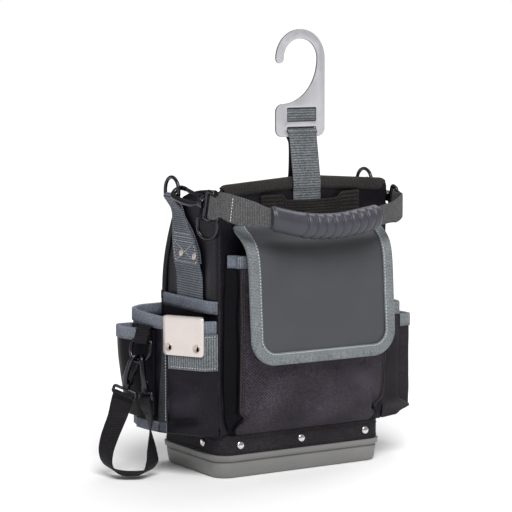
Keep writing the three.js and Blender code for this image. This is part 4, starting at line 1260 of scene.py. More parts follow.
@dataclass
class PouchBody:
    """Tall panel with its rim tape and strip of loops, and the bay wall with its rim tape."""

    form: BodyForm = FORM
    wall_thickness: float = 2.5
    strip_foot: float = 296.0
    strip: tuple[StripRow, ...] = (
        StripRow(-62, 2.6, 325), StripRow(-58, 5.6, 326), StripRow(-46, 9.8, 326), StripRow(-34, 6, 326),
        StripRow(-29, 5.2, 319), StripRow(6, 6.4, 318), StripRow(41, 5.2, 319), StripRow(46, 6, 326),
        StripRow(58, 9.8, 327), StripRow(70, 5.6, 327), StripRow(74, 2.6, 326))

    def columns(self) -> list[float]:
        """Places round the bay wall, close together where its rim is steep.

        Returns:
            Lengths from the right front corner.
        """
        form = self.form
        half = [form.side * sin(a) for a in spread(26, 0, pi / 2)]
        half += spread(5, form.side, form.side + form.arc)[1:]
        half += spread(10, form.side + form.arc, form.total / 2)[1:-1]
        return [*half, form.total / 2, *[form.total - s for s in reversed(half)]]

    def build(self) -> None:
        """Makes the panel, the wall and their tapes."""
        form = self.form
        ends = [0.9, 0.925, 0.945, 0.962, 0.977, 0.99, 1.0]
        across = [*[-u for u in reversed(ends)], *spread(44, -0.88, 0.88), *ends]
        panel = sheet_mesh(form.panel, across, spread(44))
        swell(panel, lambda p: ripple(p, 40, 0.7) * smoothstep(330 - p.z, 0, 40))
        piece(panel, "tall_panel", SIDE_NYLON, "centre_panel", wall=form.thickness)
        rim_tape(
            form.panel, across[2:-2], form.thickness, "tall_panel_tape", RIM_TAPE, "centre_panel_binding")
        runs = self.columns()
        wall = sheet_mesh(form.wall, runs, spread(40))
        swell(wall, lambda p: drape(p, 17, 3.0) * smoothstep(p.z, 52, 90) * smoothstep(300 - p.z, 0, 60))
        piece(wall, "bay_side_and_back", SIDE_NYLON, "bay_wall", wall=self.wall_thickness)
        rim_tape(
            form.wall, runs[1:-1], self.wall_thickness, "bay_rim_tape", BLACK_WEB, "bay_binding", depth=9,
            slack=0.4)
        for hand in Hand:
            edge = [form.panel(hand.value, v) + BACK * 1.2 for v in spread(60, 0.03, 0.93)]
            welt = tube_mesh(edge, BACK, lambda t: (1.7, 1.7), sides=8)
            piece(welt, f"body_corner_welt_{hand.name.lower()}", SKIRT_NYLON)
        self.build_strip()

    def strip_face(self, u: float, v: float) -> Vector:
        """Face of the strip of loops: u counts its columns, v runs up.

        Args:
            u: 0 to the last column.
            v: 0 to 1.

        Returns:
            The place.
        """
        xs, offs, tops = zip(*self.strip)
        z = lerp(self.strip_foot, soft_row(tops, u, 0.3), v)
        return Vector((soft_row(xs, u), self.form.panel_front(z) - soft_row(offs, u, 0.35), z))

    def build_strip(self) -> None:
        """Makes the strip of loops with its stitches."""
        last = len(self.strip) - 1
        bm = sheet_mesh(self.strip_face, spread(12 * last, 0, last), spread(12))
        piece(bm, "panel_loops", PANEL_WEB, "panel_organiser", wall=WEB)
        seam = Seam("panel_loop_stitches", DARK_THREAD)
        for u in (0.45, 3.5, 6.5, 9.55):
            line = [self.strip_face(u, v) for v in spread(8, 0.06, 0.94)]
            seam.sew(line, [normal_of(self.strip_face, u, 0.5)] * len(line), width=0.8)
        seam.finish_piece()


@dataclass
class FrontPocket:
    """Bellows pocket under the flap, pleated at both sides and drawn in at the foot."""

    form: BodyForm = FORM
    foot: float = 50.6
    rim: float = 258.0
    plan: tuple[PleatRow, ...] = (
        PleatRow(0, 32, 0), PleatRow(35, 31, 34), PleatRow(70, 28.5, 66), PleatRow(102, 23, 93.5),
        PleatRow(98.5, 12, 97), PleatRow(109.5, 2.6, 100))
    pleat_row: float = 3.0
    seat: float = 3.4
    rise_z: tuple[float, ...] = (50.6, 60, 74, 95, 150, 210, 258)
    rise_out: tuple[float, ...] = (0, 0.42, 0.84, 1, 1.05, 0.98, 0.8)

    def out_at(self, z: float) -> float:
        """How far the pocket stands out.

        Args:
            z: height.

        Returns:
            Share of its full depth.
        """
        i = max(k for k, low in enumerate(self.rise_z[:-1]) if k == 0 or low <= z)
        index = i + (z - self.rise_z[i]) / (self.rise_z[i + 1] - self.rise_z[i])
        return soft_row(self.rise_out, index, 0.45)

    def face(self, u: float, v: float) -> Vector:
        """Outer face: u counts plan rows from the middle, left below nought, v runs up.

        Args:
            u: minus the last row to the last row.
            v: 0 to 1.

        Returns:
            The place.
        """
        z = lerp(self.foot, self.rim, v)
        out = self.out_at(z)
        row = abs(u)
        half, depth, foot_half = (soft_row(column, row) for column in zip(*self.plan))
        x = lerp(foot_half, half, min(out, 1)) + self.tuck(row, z)
        off = self.seat + out * (depth - self.plan[-1].depth)
        return Vector((copysign(x, u), self.form.panel_front(z) - off, z))

    def tuck(self, row: float, z: float) -> float:
        """Folded corner low on the pleat: a slanting crease with a loose corner below it.

        Args:
            row: plan row, counted from the middle.
            z: height.

        Returns:
            How far the cloth stands out to the side.
        """
        back = clamp((row - 3) / 2, 0, 1)
        crease = lerp(74, 52, back)
        dent = bump(z - crease, 2.6)
        loose = smoothstep(crease - z, 0.5, 7) * (1 - back)
        pinch = bump(z - 69, 7.5) * smoothstep(row, 2.3, 3) * smoothstep(4.3 - row, 0, 1.3)
        kick = smoothstep(row, 2.75, 3.1) * (3.2 * loose - 3.0 * dent) - 7.5 * pinch
        return kick * smoothstep(z, 50.6, 58)

    def fold(self, p: Vector) -> float:
        """Slack of the front: soft swags low down and a crease toward each lower corner.

        Args:
            p: place on the pocket.

        Returns:
            How far the cloth stands out.
        """
        low = bump(p.z - 74, 16)
        crease = bump(abs(p.x) - 98 + 0.45 * (p.z - 52), 4) * smoothstep(96 - p.z, 0, 30)
        slack = ripple(p, 36, 2.4) + 1.6 * low * sin(p.x / 17) - 2.4 * crease
        return slack * smoothstep(p.z, 51, 66) * smoothstep(242 - p.z, 0, 30)

    def build(self) -> None:
        """Makes the pocket, its rim tape and its seams."""
        last = len(self.plan) - 1
        corner = self.pleat_row
        front = sheet_mesh(self.face, spread(120, -corner, corner), spread(60))
        piece(swell(front, self.fold), "bellows_pocket", NYLON, "front_pocket", wall=CLOTH)
        for hand, start, end in ((Hand.LEFT, -last, -corner), (Hand.RIGHT, corner, last)):
            pleat = sheet_mesh(self.face, spread(40, start, end), spread(60))
            # the pleats wear the darker nylon as painted shade
            piece(swell(pleat, self.fold), f"bellows_pleat_{hand.name.lower()}", PAINTED_SHADE_NYLON, wall=CLOTH)
        rim_tape(
            self.face, spread(20 * last, 0.12 - last, last - 0.12), CLOTH, "bellows_pocket_tape", SIDE_TAPE,
            "front_pocket_binding", slack=0.15)
        for hand in Hand:
            edge = [self.face(hand.value * 2.97, v) - BACK * 0.5 for v in spread(60, 0.09, 0.93)]
            cord = tube_mesh(edge, BACK, lambda t: (1.0, 1.0), sides=8)
            piece(cord, f"bellows_pocket_piping_{hand.name.lower()}", RIM_TAPE)
        seam = Seam("bellows_pocket_stitches", DARK_THREAD)
        for u in (-2.86, -2.78, 2.78, 2.86):
            line = [self.face(u, v) for v in spread(40, 0.1, 0.93)]
            out = [normal_of(self.face, u, v) for v in spread(40, 0.1, 0.93)]
            seam.sew([p + n * (0.4 + self.fold(p)) for p, n in zip(line, out)], out, width=0.9)
        seam.finish_piece()


@dataclass
class Flap:
    """Coated flap over the front pocket, bound with tape on three sides."""

    half_x: float = 97.0
    corner: float = 30.0
    thickness: float = 2.4
    tape: float = 13.0
    stitch_in: float = 1.8
    curve: tuple[tuple[float, float], ...] = (
        (-73.3, 293), (-78, 287), (-90, 280), (-102, 268), (-107.8, 248), (-111.5, 200), (-116, 137))
    track: Track = field(init=False)

    def __post_init__(self) -> None:
        """Lays the line from the hinge to the lower edge."""
        self.track = Track(through_points([Vector((0, y, z)) for y, z in self.curve], 24))

    def face(self, x: float, run: float) -> Vector:
        """Outer face at a width and a length below the hinge."""
        p = self.track.at(run)
        return Vector((x, p.y, p.z))

    def end(self, x: float) -> float:
        """Length of the flap at a width, shorter round the corners."""
        past = clamp(abs(x) - (self.half_x - self.corner), 0, self.corner)
        return self.track.length - self.corner + sqrt(self.corner**2 - past**2)

    def corner_widths(self) -> list[float]:
        """Widths round a lower corner, from where it starts to the edge."""
        return [self.half_x - self.corner * (1 - sin(a)) for a in spread(12, 0, pi / 2 - 0.1)]

    def belly(self, p: Vector) -> float:
        """How far the cloth stands out in its middle, with gentle unevenness."""
        return 1.5 * (1 - (p.x / 100) ** 2) * smoothstep(p.z, 137, 190) + ripple(p, 60, 0.8) - 0.4

    def raised(self, x: float, up: float) -> Vector:
        """Outer face with the length counted upward."""
        return self.face(x, -up)

    def build(self) -> None:
        """Makes the flap, its tape and the stitches along the tape."""
        turn = self.corner_widths()
        widths = [*[-x for x in reversed(turn)], *spread(26, -66, 66), *turn]
        rows = [[self.face(x, lerp(self.end(x), 0, v)) for x in widths] for v in spread(48)]
        bm = grid_mesh(rows)
        swell(bm, self.belly)
        flap = piece(bm, "flap_panel", FLAP_CLOTH, "flap", wall=self.thickness)
        self.build_tape(turn)

    def build_tape(self, turn: Sequence[float]) -> None:
        """Makes the tape round three sides and its stitches.

        Args:
            turn: widths round a lower corner.
        """
        side = turn[-1]

        def half(hand: int, inset: float) -> Outline:
            """Edge of one side, set in from the free edge.

            Args:
                hand: -1 for the left, 1 for the right.
                inset: distance in from the edge.

            Returns:
                Widths and lengths, from the hinge down and round the corner.
            """
            straight = [(hand * (side - inset), s) for s in spread(32, 2, self.track.length - self.corner)]
            centre = self.half_x - self.corner
            arc = [(hand * (centre + (self.corner - inset) * cos(a)),
                    self.track.length - self.corner + (self.corner - inset) * sin(a))
                   for a in spread(14, 0.15, pi / 2)]
            return [*straight, *arc]

        def around(inset: float) -> Outline:
            """Edge of all three sides, set in from the free edge."""
            return [*half(-1, inset), (0.0, self.track.length - inset), *reversed(half(1, inset))]

        tape = binding_mesh(
            self.raised, [(x, -s) for x, s in around(0)], self.thickness, depth=self.tape, side=1, slack=0.3)
        piece(tape, "flap_tape", GREY_TAPE, "flap_binding", wall=BINDING_LEG)
        seam = Seam("flap_stitches", PALE_THREAD)
        line = around(self.tape - self.stitch_in)
        outs = [normal_of(self.raised, x, -s) for x, s in line]
        lift = GAP + 0.3 + BINDING_LEG
        seam.sew([self.face(x, s) + n * lift for (x, s), n in zip(line, outs)], outs, pitch=3.6, width=0.95)
        seam.finish_piece()


@dataclass
class SideStrap:
    """Grey strap up a side wall, folded over the bar of its D-ring and riveted."""

    hand: Hand
    form: BodyForm = FORM
    width: float = 57.0
    neck: float = 19.0
    foot: float = 122.0
    centre_y: float = -4.0
    top_y: float = 4.8
    ring_x: float = 134.5
    ring_y: float = 2.0
    bar: float = 322.0
    ring_half: float = 15.3
    ring_leg: float = 7.0
    wire: float = 2.2
    lap: float = 4.3
    rivets: tuple[tuple[float, float], ...] = ((3.0, 256.0), (-26.0, 254.5))

    def centre(self, z: float) -> float:
        """Y of the strap's middle at a height."""
        return lerp(self.centre_y, self.top_y, smoothstep(z, 252, 318))

    def width_at(self, z: float) -> float:
        """Width of the strap at a height."""
        return lerp(self.width, self.neck, smoothstep(z, 256, 318))

    def on_wall(self, off: float, z: float, aside: float = 0.0) -> Vector:
        """Place off the side wall, aside from the strap's middle."""
        y = self.centre(z)
        return Vector((self.hand.value * (self.form.wall_x(y, z) + off), y + aside, z))

    def build(self) -> None:
        """Makes the strap, its ring, its rivets and its stitches."""
        side, sign = self.hand.name.lower(), self.hand.value
        loop = self.wire + GAP + WEB / 2
        places = [self.on_wall(1.7 if z < 298 else 3.4, z) for z in spread(5, 246, 312)]
        places += [
            Vector((sign * (self.ring_x - loop * cos(a)), self.top_y, self.bar + loop * sin(a)))
            for a in spread(8, -0.15 * pi, 1.1 * pi)]
        places += [self.on_wall(self.lap if z < 298 else 6, z) for z in spread(5, 308, 250)]
        single = ((3.7, 242), (2.1, 234), (1.7, 222), (1.5, 180), (1.5, self.foot))
        places += [self.on_wall(off, z) for off, z in single]
        stations = [Station(p, BACK * -sign, self.width_at(p.z)) for p in places]
        piece(ribbon_mesh(stations), f"side_strap_{side}", STRAP_WEB, f"strap_{side}", crease=60)
        ring_at = Vector((sign * self.ring_x, self.ring_y, self.bar))
        ring = d_ring(ring_at, BACK, UP, self.ring_half, self.ring_leg, self.wire)
        piece(ring, f"d_ring_{side}", GUNMETAL, f"ring_{side}")
        out = Vector((sign, 0, 0.1))
        for i, (y, z) in enumerate(self.rivets):
            off = self.lap + WEB / 2 + GAP + 0.5
            at = Vector((sign * (self.form.wall_x(self.centre_y, z) + off), y, z))
            rivet(f"strap_{side}_rivet_{i + 1}", at, out, 4, COPPER_RIVET)
        self.build_stitches(side, out)

    def build_stitches(self, side: str, out: Vector) -> None:
        """Sews a boxed cross over the doubled part and two rows above it.

        Args:
            side: name of the side.
            out: direction off the strap.
        """
        seam = Seam(f"side_strap_stitches_{side}", PALE_THREAD)
        low, high, reach = 246.0, 270.0, 0.42

        def place(share: float, z: float) -> Vector:
            """Spot on the strap's face by the share of its width."""
            return self.on_wall(self.lap + WEB / 2 + 0.1, z, share * self.width_at(z))

        rows = [[place(s, z) for s in spread(12, -reach, reach)] for z in (low, high, 275.0, 279.0)]
        rows += [[place(s * reach, z) for z in spread(8, low, high)] for s in (-1, 1)]
        rows += [[place(s * lerp(-reach, reach, t), lerp(low, high, t)) for t in spread(12)] for s in (-1, 1)]
        for row in rows:
            seam.sew(row, [out] * len(row), pitch=3.6, width=0.7)
        seam.finish_piece()


def d_ring(at: Vector, along: Vector, away: Vector, half: float, leg: float, wire: float) -> BMesh:
    """Closed D of round wire.

    Args:
        at: middle of its bar.
        along: direction of the bar.
        away: direction from the bar to the bow.
        half: half the width between the legs' middles.
        leg: length of the legs.
        wire: radius of the wire.

    Returns:
        The closed ring.
    """
    bend = 3.0
    turn = spread(5, 0, pi / 2)
    line = [(a, 0.0) for a in spread(6, bend - half, half - bend)]
    line += [(half - bend + bend * sin(a), bend - bend * cos(a)) for a in turn[1:]]
    line += [(half * cos(a), leg + half * sin(a)) for a in spread(32, 0, pi)]
    line += [(bend - half - bend * cos(a), bend - bend * sin(a)) for a in turn[:-1]]
    points = [at + along * a + away * b for a, b in line]
    return tube_mesh(points, along.cross(away), lambda t: (wire, wire), closed=True)


@dataclass
class SlotPocket:
    """Flat pocket behind the left side pocket, with a band along its rim."""

    form: BodyForm = FORM
    foot: float = 112.0
    rim: float = 204.0
    thickness: float = 2.0

    def face(self, u: float, v: float) -> Vector:
        """Outer face: u from the rear to the front, v from the foot to the rim.

        Args:
            u: 0 to 1.
            v: 0 to 1.

        Returns:
            The place.
        """
        z = lerp(self.foot, self.rim, v)
        y = lerp(50, lerp(-48, -63, smoothstep(z, 188, 193)), u)
        sewn = 1 - 0.75 * smoothstep(u, 0.9, 1.0)
        return self.form.left_side(y, z, (5.2 + 3 * v * sin(pi * clamp(u, 0, 1))) * sewn)

    def build(self) -> None:
        """Makes the pocket and its band."""
        bm = sheet_mesh(self.face, spread(40), spread(40))
        swell(bm, lambda p: ripple(p, 30, 0.6))
        piece(bm, "slot_wall", SIDE_NYLON, "slot_pocket", wall=self.thickness)
        rim_tape(
            self.face, spread(40, 0, 1.03), self.thickness, "slot_rim_tape", SIDE_TAPE, "slot_binding")


@dataclass
class HangRing:
    """Ring that hangs free from a web tab at the front of the left side."""

    form: BodyForm = FORM
    y: float = -57.5
    bar: float = 302.0
    half: float = 13.5
    leg: float = 11.0
    wire: float = 2.0
    out: float = 8.0
    turn: float = 24.0
    tab_width: float = 19.0

    def build(self) -> None:
        """Makes the ring on its own body and the tab on the pouch."""
        along = flat(self.turn - 90)
        out = flat(self.turn + 180)
        bar = Vector((-(self.form.wall_x(self.y, self.bar) + self.out), self.y, self.bar))
        ring = d_ring(bar, along, -UP, self.half, self.leg, self.wire)
        piece(ring, "free_ring", GUNMETAL, "hang_ring", body="hang_ring")
        loop = self.wire + GAP + WEB / 2
        line = [(-1.3, 11.5), (-1.6, 8)]
        line += [(loop * cos(a), -loop * sin(a)) for a in spread(8, 1.1 * pi, -0.1 * pi)]
        line += [(1.3, 8), (1.3, 11.5)]
        stations = [Station(bar + out * off + UP * up, along, self.tab_width) for off, up in line]
        piece(ribbon_mesh(stations), "free_ring_tab", BLACK_WEB, "hang_tab", crease=60)


def inset_plan(plan: Sequence[PlanRow], distance: float) -> list[PlanRow]:
    """Plan set in, to the left of its run, by a distance.

    Args:
        plan: corners in order.
        distance: how far in; out where it is below nought.

    Returns:
        The corners of the new plan.
    """
    rows = []
    for i, row in enumerate(plan):
        steps = [(plan[k], plan[k + 1]) for k in (i - 1, i) if 0 <= k < len(plan) - 1]
        sides = [Vector((a.y - b.y, b.x - a.x)).normalized() for a, b in steps]
        side = sum(sides, Vector((0, 0))).normalized()
        reach = distance / side.dot(sides[0])
        rows.append(PlanRow(row.x + side.x * reach, row.y + side.y * reach))
    return rows


@dataclass(frozen=True)
class PocketWall:
    """Upright wall of a side pocket over its plan, with a rim that may rise toward the rear."""

    plan: tuple[PlanRow, ...]
    foot: float
    rim: float
    rise: float = 0.0
    level: float = 10.0
    round_off: float = 0.18

    def along(self, u: float) -> PlanRow:
        """Place on the plan at a running index, rounded at its corners."""
        return PlanRow(*(soft_row(column, u, self.round_off) for column in zip(*self.plan)))

    def at(self, u: float, z: float) -> Vector:
        """Place on the wall at a height."""
        return Vector((*self.along(u), z))

    def face(self, u: float, v: float) -> Vector:
        """Outer face, u counting plan rows and v running up to the rim."""
        spot = self.along(u)
        return Vector((*spot, lerp(self.foot, self.rim + self.rise * (spot.y - self.level), v)))


@dataclass
class BoxPocket:
    """Side pocket: a wall that is folded in under as a floor, with tape round its rim."""

    name: str
    node: str
    tape_node: str
    wall: PocketWall
    back_x: float
    tape_from: float
    tape_to: float
    slack: Callable[[Vector], float]
    finish: Finish = SIDE_NYLON
    tape: Finish = SIDE_TAPE
    tape_depth: float = 13.5

    def rows(self) -> list[list[Vector]]:
        """Rows of points from the floor's inner edge, out under the wall and up to the rim.

        Returns:
            The rows.
        """
        last = len(self.wall.plan) - 1
        us = spread(16 * last, 0, last)
        plan = [self.wall.along(u) for u in us]
        rows = []
        for share in (1.0, 0.6, 0.25, 0.06):
            rows.append([Vector((lerp(p.x, self.back_x, share), p.y, self.wall.foot)) for p in plan])
        rows += [[self.wall.face(u, v) for u in us] for v in (0.012, 0.03, *spread(44, 0.05, 1))]
        return rows

    def build(self) -> None:
        """Makes the pocket and its rim tape."""
        bm = swell(grid_mesh(self.rows()), self.slack)
        piece(bm, self.name, self.finish, self.node, wall=CLOTH)
        rim_tape(
            self.wall.face, spread(90, self.tape_from, self.tape_to), CLOTH, f"{self.name}_tape", self.tape,
            self.tape_node, depth=self.tape_depth)


@dataclass
class PlatePocket:
    """Left side pocket with a webbing band, edge tape and a bright clip plate on its slanted face."""

    plan: tuple[PlanRow, ...] = (
        PlanRow(-107, 69.3), PlanRow(-140, 68), PlanRow(-157, 57), PlanRow(-163, 36), PlanRow(-162.5, 12),
        PlanRow(-157, -16), PlanRow(-131, -62), PlanRow(-113.8, -67))
    foot: float = 51.0
    rim: float = 186.2
    rise: float = 0.05
    back_x: float = -115.0
    trim: float = 1.4
    seam_row: float = 5.06
    band_z: float = 147.8
    band_width: float = 41.6
    clip_width: float = 53.0
    clip_foot: float = 143.4
    clip_top: float = 188.3
    clip_thick: float = 1.5
    clip_corner: float = 4.0
    clip_out: float = 2.2
    clip_centre: float = 28.4
    clip_back: float = 14.0
    clip_back_half: float = 23.5
    clip_back_aside: float = -2.6
    rivets: tuple[float, float] = (9.1, 45.7)
    rivet_z: float = 152.6
    seam: Vector = field(init=False)
    face_along: Vector = field(init=False)
    face_out: Vector = field(init=False)

    def __post_init__(self) -> None:
        """Finds the slanted face."""
        start, end = self.plan[5], self.plan[6]
        self.seam = Vector((start.x, start.y, 0))
        self.face_along = (Vector((end.x, end.y, 0)) - self.seam).normalized()
        self.face_out = Vector((self.face_along.y, -self.face_along.x, 0))

    def slack(self, p: Vector) -> float:
        """Cloth that bulges low on the slanted face and sags in soft folds.

        Args:
            p: place on the pocket.

        Returns:
            How far the cloth stands out.
        """
        along = (p - self.seam).dot(self.face_along)
        near = (p - self.seam).dot(self.face_out)
        face = smoothstep(along, 1, 16) * smoothstep(56 - along, 0, 22) * smoothstep(near, -9, -3)
        bulge = 7.0 * bump(p.z - 82 - 0.2 * along, 14)
        crease = -5.0 * bump(p.z - 62 - 0.16 * along, 4.5)
        swag = 1.6 * bump(p.z - 119 + 0.25 * along, 6)
        soft = ripple(p, 26, 1.4) * smoothstep(168 - p.z, 0, 40) * smoothstep(p.z, 54, 66)
        return (bulge + crease + swag) * face * smoothstep(p.z, 51.5, 60) + soft

    def on_face(self, along: float, out: float, z: float) -> Vector:
        """Place on the slanted face: along from the seam, out from the cloth, at a height."""
        return self.seam + self.face_along * along + self.face_out * out + UP * z

    def build(self) -> None:
        """Makes the pocket, band, edge tape, clip plate and rivets."""
        BoxPocket(
            "plate_side_pocket", "plate_pocket", "plate_pocket_binding",
            PocketWall(self.plan, self.foot, self.rim, self.rise), self.back_x, tape_from=0.02, tape_to=6.85,
            slack=self.slack).build()
        skin = PocketWall(tuple(inset_plan(self.plan, -GAP - self.trim / 2)), self.foot, self.rim)
        stations = [Station(skin.at(u, self.band_z), UP, self.band_width) for u in spread(24, 5.13, 6.92)]
        band = ribbon_mesh(stations, self.trim, 2)
        piece(band, "plate_pocket_web", GREY_WEB, "plate_pocket_band", crease=60)
        self.build_edge(skin)
        self.build_clip()

    def build_edge(self, skin: PocketWall) -> None:
        """Makes the tape down the seam and round the foot, and the stitches of the tape and the band.

        Args:
            skin: the pocket's wall at the middle of the tape.
        """
        upright = []
        for z in spread(40, 51.5, 170.9):
            start = lerp(4.72, 4.93, smoothstep(z, 60, 150))
            upright.append([skin.at(u, z) for u in spread(8, start, 5.09)])
        foot = [[skin.at(u, z) for u in spread(40, 3.02, 5.08)] for z in spread(5, 51.5, 63.5)]
        tapes = [swell(grid_mesh(rows), lambda p: self.trim / 2) for rows in (upright, foot)]
        piece(tapes[0], "plate_pocket_edge_tape", EDGE_TAPE, "plate_pocket_edge", wall=self.trim)
        piece(tapes[1], "plate_pocket_foot_tape", SIDE_TAPE, wall=self.trim)
        seam = Seam("plate_pocket_stitches", PALE_THREAD)
        out = normal_of(skin.face, self.seam_row, 0.5)
        line = [skin.at(self.seam_row, z) + out * 0.8 for z in spread(20, 66, 168)]
        seam.sew(line, [out] * len(line), width=0.6)
        spots = spread(24, 5.2, 6.85)
        outs = [normal_of(skin.face, u, 0.5) for u in spots]
        for z in (self.band_z - 18, self.band_z + 18.5):
            seam.sew([skin.at(u, z) + n * 0.8 for u, n in zip(spots, outs)], outs, width=0.6)
        seam.finish_piece()

    def clip_section(self) -> Outline:
        """Line of the clip plate's outer face from its foot, over the rim and down behind: out and height.

        Returns:
            Points of the line.
        """
        front = self.clip_out + self.clip_thick
        back = -(CLOTH + 2 * (GAP + BINDING_LEG) + GAP + self.clip_thick)
        bend = 2.4
        corner = [self.clip_foot + self.clip_corner * (1 - cos(a)) for a in spread(8, 0, pi / 2)]
        line = [(front, z) for z in [*corner, *spread(10, corner[-1], self.clip_top - bend)[1:]]]
        over = spread(5, 0, pi / 2)[1:]
        line += [(front - bend + bend * cos(a), self.clip_top - bend + bend * sin(a)) for a in over]
        line += [(back + bend - bend * sin(a), self.clip_top - bend + bend * cos(a)) for a in over]
        down = spread(4, self.clip_top - bend, self.clip_top - self.clip_back)[1:]
        return [*line, *[(back, z) for z in down]]

    def build_clip(self) -> None:
        """Makes the folded plate with rounded lower corners, and its two eyelets."""
        rows = []
        for out, z in self.clip_section():
            up = clamp(z - self.clip_foot, 0, self.clip_corner)
            half = self.clip_width / 2 - self.clip_corner
            half += sqrt(self.clip_corner**2 - (self.clip_corner - up) ** 2)
            behind = smoothstep(self.clip_out + self.clip_thick - out, 0.2, 3)
            half = lerp(half, self.clip_back_half, behind)
            centre = self.clip_centre + self.clip_back_aside * behind
            rows.append([self.on_face(centre + half * s, out, z) for s in spread(12, -1, 1)])
        piece(grid_mesh(rows), "clip", BRIGHT_PLATE, "clip_plate", wall=self.clip_thick, crease=50)
        for i, along in enumerate(self.rivets):
            at = self.on_face(along, self.clip_out + self.clip_thick, self.rivet_z)
            rim = [(0, 0), (4.8, 0), (4.8, 0.35), (4.5, 0.7), (4.0, 0.7), (3.5, 0.3), (0, 0.25)]
            node = f"clip_rivet_{i + 1}"
            piece(lathe_mesh(rim, facing(at, self.face_out)), f"{node}_eyelet", EYELET, node, crease=40)
            # a thin near-black sheet shaped like the eyelet's hole is painted shade
            turn = spread(16, -1.15 * pi, 0.15 * pi)
            drop = [(2.0 + 1.8 * cos(a), 1.8 * sin(a) - 1.2) for a in turn]
            place = axes(at + self.face_out * 0.55, self.face_along, UP)
            hole = plate_mesh([[*drop, (2.0, 3.6)]], place, 0.2, 0.05)
            piece(hole, f"{node}_keyhole", PAINTED_HOLE_SHADE, crease=40)


@dataclass
class RightPockets:
    """Right side pocket with a smaller pocket on its face."""

    plan: tuple[PlanRow, ...] = (
        PlanRow(113.8, -66), PlanRow(142, -60.5), PlanRow(149, -49), PlanRow(149.5, 40), PlanRow(139, 60),
        PlanRow(107, 69.3))
    outer_plan: tuple[PlanRow, ...] = (
        PlanRow(149.8, -46.5), PlanRow(168, -46), PlanRow(173, -39), PlanRow(173, 27), PlanRow(167, 33),
        PlanRow(149.9, 34))
    foot: float = 51.0
    rim: float = 187.0
    back_x: float = 115.0
    outer_foot: float = 59.0
    outer_rim: float = 169.0
    outer_back_x: float = 150.5

    @staticmethod
    def slack(p: Vector) -> float:
        """Soft unevenness, with a fold standing out at the lower front corner."""
        ear = 15.0 * bump(p.z - 62, 6) * bump(p.y + 56, 7)
        return ripple(p, 30, 1.5) * smoothstep(170 - p.z, 0, 40) + ear

    @staticmethod
    def outer_slack(p: Vector) -> float:
        """Soft unevenness of the smaller pocket."""
        return ripple(p, 24, 1.2) * smoothstep(152 - p.z, 0, 40)

    def build(self) -> None:
        """Makes both pockets."""
        BoxPocket(
            "right_side_pocket", "right_pocket", "right_pocket_binding",
            PocketWall(self.plan, self.foot, self.rim), self.back_x, tape_from=0.08, tape_to=4.98,
            slack=self.slack, finish=SKIRT_NYLON, tape=GREY_TAPE).build()
        BoxPocket(
            "right_small_pocket", "right_outer_pocket", "right_outer_binding",
            PocketWall(self.outer_plan, self.outer_foot, self.outer_rim), self.outer_back_x, tape_from=0.2,
            tape_to=4.75, slack=self.outer_slack, finish=SKIRT_NYLON, tape=GREY_TAPE).build()


@dataclass
class OuterPocket:
    """Small pocket on the left, drawn in toward its foot, with a web tab that carries the tape ring."""

    plan: tuple[OuterRow, ...] = (
        OuterRow(-147.5, 62.6, -148.5, 61.9), OuterRow(-174, 66, -163, 57), OuterRow(-180, 46, -167.2, 40),
        OuterRow(-175, 22, -166.8, 14), OuterRow(-162.3, -4, -162, -4.6))
    foot: float = 66.0
    rim: float = 169.0
    half: float = 13.5
    leg: float = 11.0
    wire: float = 2.0
    bar: float = 157.5
    tilt: float = 15.0
    tab_face: float = 2.8
    tab_width: float = 18.0
    tab_share: float = 0.55
    thickness: float = 2.0

    @property
    def tab_along(self) -> Vector:
        """Level direction along the face that carries the tab."""
        start, end = self.plan[3], self.plan[4]
        return Vector((end.x - start.x, end.y - start.y, 0)).normalized()

    @property
    def tab_out(self) -> Vector:
        """Level direction out of that face."""
        return Vector((self.tab_along.y, -self.tab_along.x, 0))

    @property
    def ring_bar(self) -> Vector:
        """Middle of the tape ring's bar."""
        return self.on_tab(self.tab_face + self.wire + GAP + WEB / 2, self.bar)

    @property
    def ring_away(self) -> Vector:
        """Direction from the tape ring's bar to its bow."""
        tilt = radians(self.tilt)
        return self.tab_out * sin(tilt) - UP * cos(tilt)

    def on_tab(self, out: float, z: float) -> Vector:
        """Place off the face at the tab."""
        start, end = self.plan[3], self.plan[4]
        spot = Vector((lerp(start.x, end.x, self.tab_share), lerp(start.y, end.y, self.tab_share), z))
        return spot + self.tab_out * out

    def face(self, u: float, v: float) -> Vector:
        """Outer face: u counts plan rows, v runs up.

        Args:
            u: 0 to the last row.
            v: 0 to 1.

        Returns:
            The place.
        """
        part = 0.12 + 0.88 * (smoothstep(clamp(v, 0, 1), -0.5, 0.85) - 0.2) / 0.8
        x, y, flat_x, flat_y = (soft_row(column, u, 0.3) for column in zip(*self.plan))
        return Vector((lerp(flat_x, x, part), lerp(flat_y, y, part), lerp(self.foot, self.rim, v)))

    def build(self) -> None:
        """Makes the pocket, its tape, the tab and the ring."""
        bm = sheet_mesh(self.face, spread(64, 0, 4), spread(44))
        swell(bm, lambda p: ripple(p, 22, 1.1) * smoothstep(153 - p.z, 0, 30))
        # the darker nylon gives this pocket painted shade
        piece(bm, "small_left_pocket", PAINTED_SHADE_NYLON, "outer_pocket", wall=self.thickness)
        rim_tape(
            self.face, spread(60, 0.25, 3.5), self.thickness, "small_left_pocket_tape", SIDE_TAPE,
            "outer_pocket_binding")
        loop = self.wire + GAP + WEB / 2
        face = self.tab_face
        line = [(-2.6, 172.4), (1, 172.4), (face, 170.8), (face, 162)]
        bow = spread(7, pi, 2 * pi)
        line += [(face + loop + loop * cos(a), self.bar + loop * sin(a)) for a in bow]
        line += [(face + 4, 163.5), (face + 2.3, 166), (face + 2.3, 171)]
        stations = [Station(self.on_tab(out, z), self.tab_along, self.tab_width) for out, z in line]
        piece(ribbon_mesh(stations, per_step=3), "tape_ring_tab", BLACK_WEB, "tape_tab", crease=60)
        ring = d_ring(self.ring_bar, self.tab_along, self.ring_away, self.half, self.leg, self.wire)
        piece(ring, "tape_d_ring", GUNMETAL, "tape_ring")


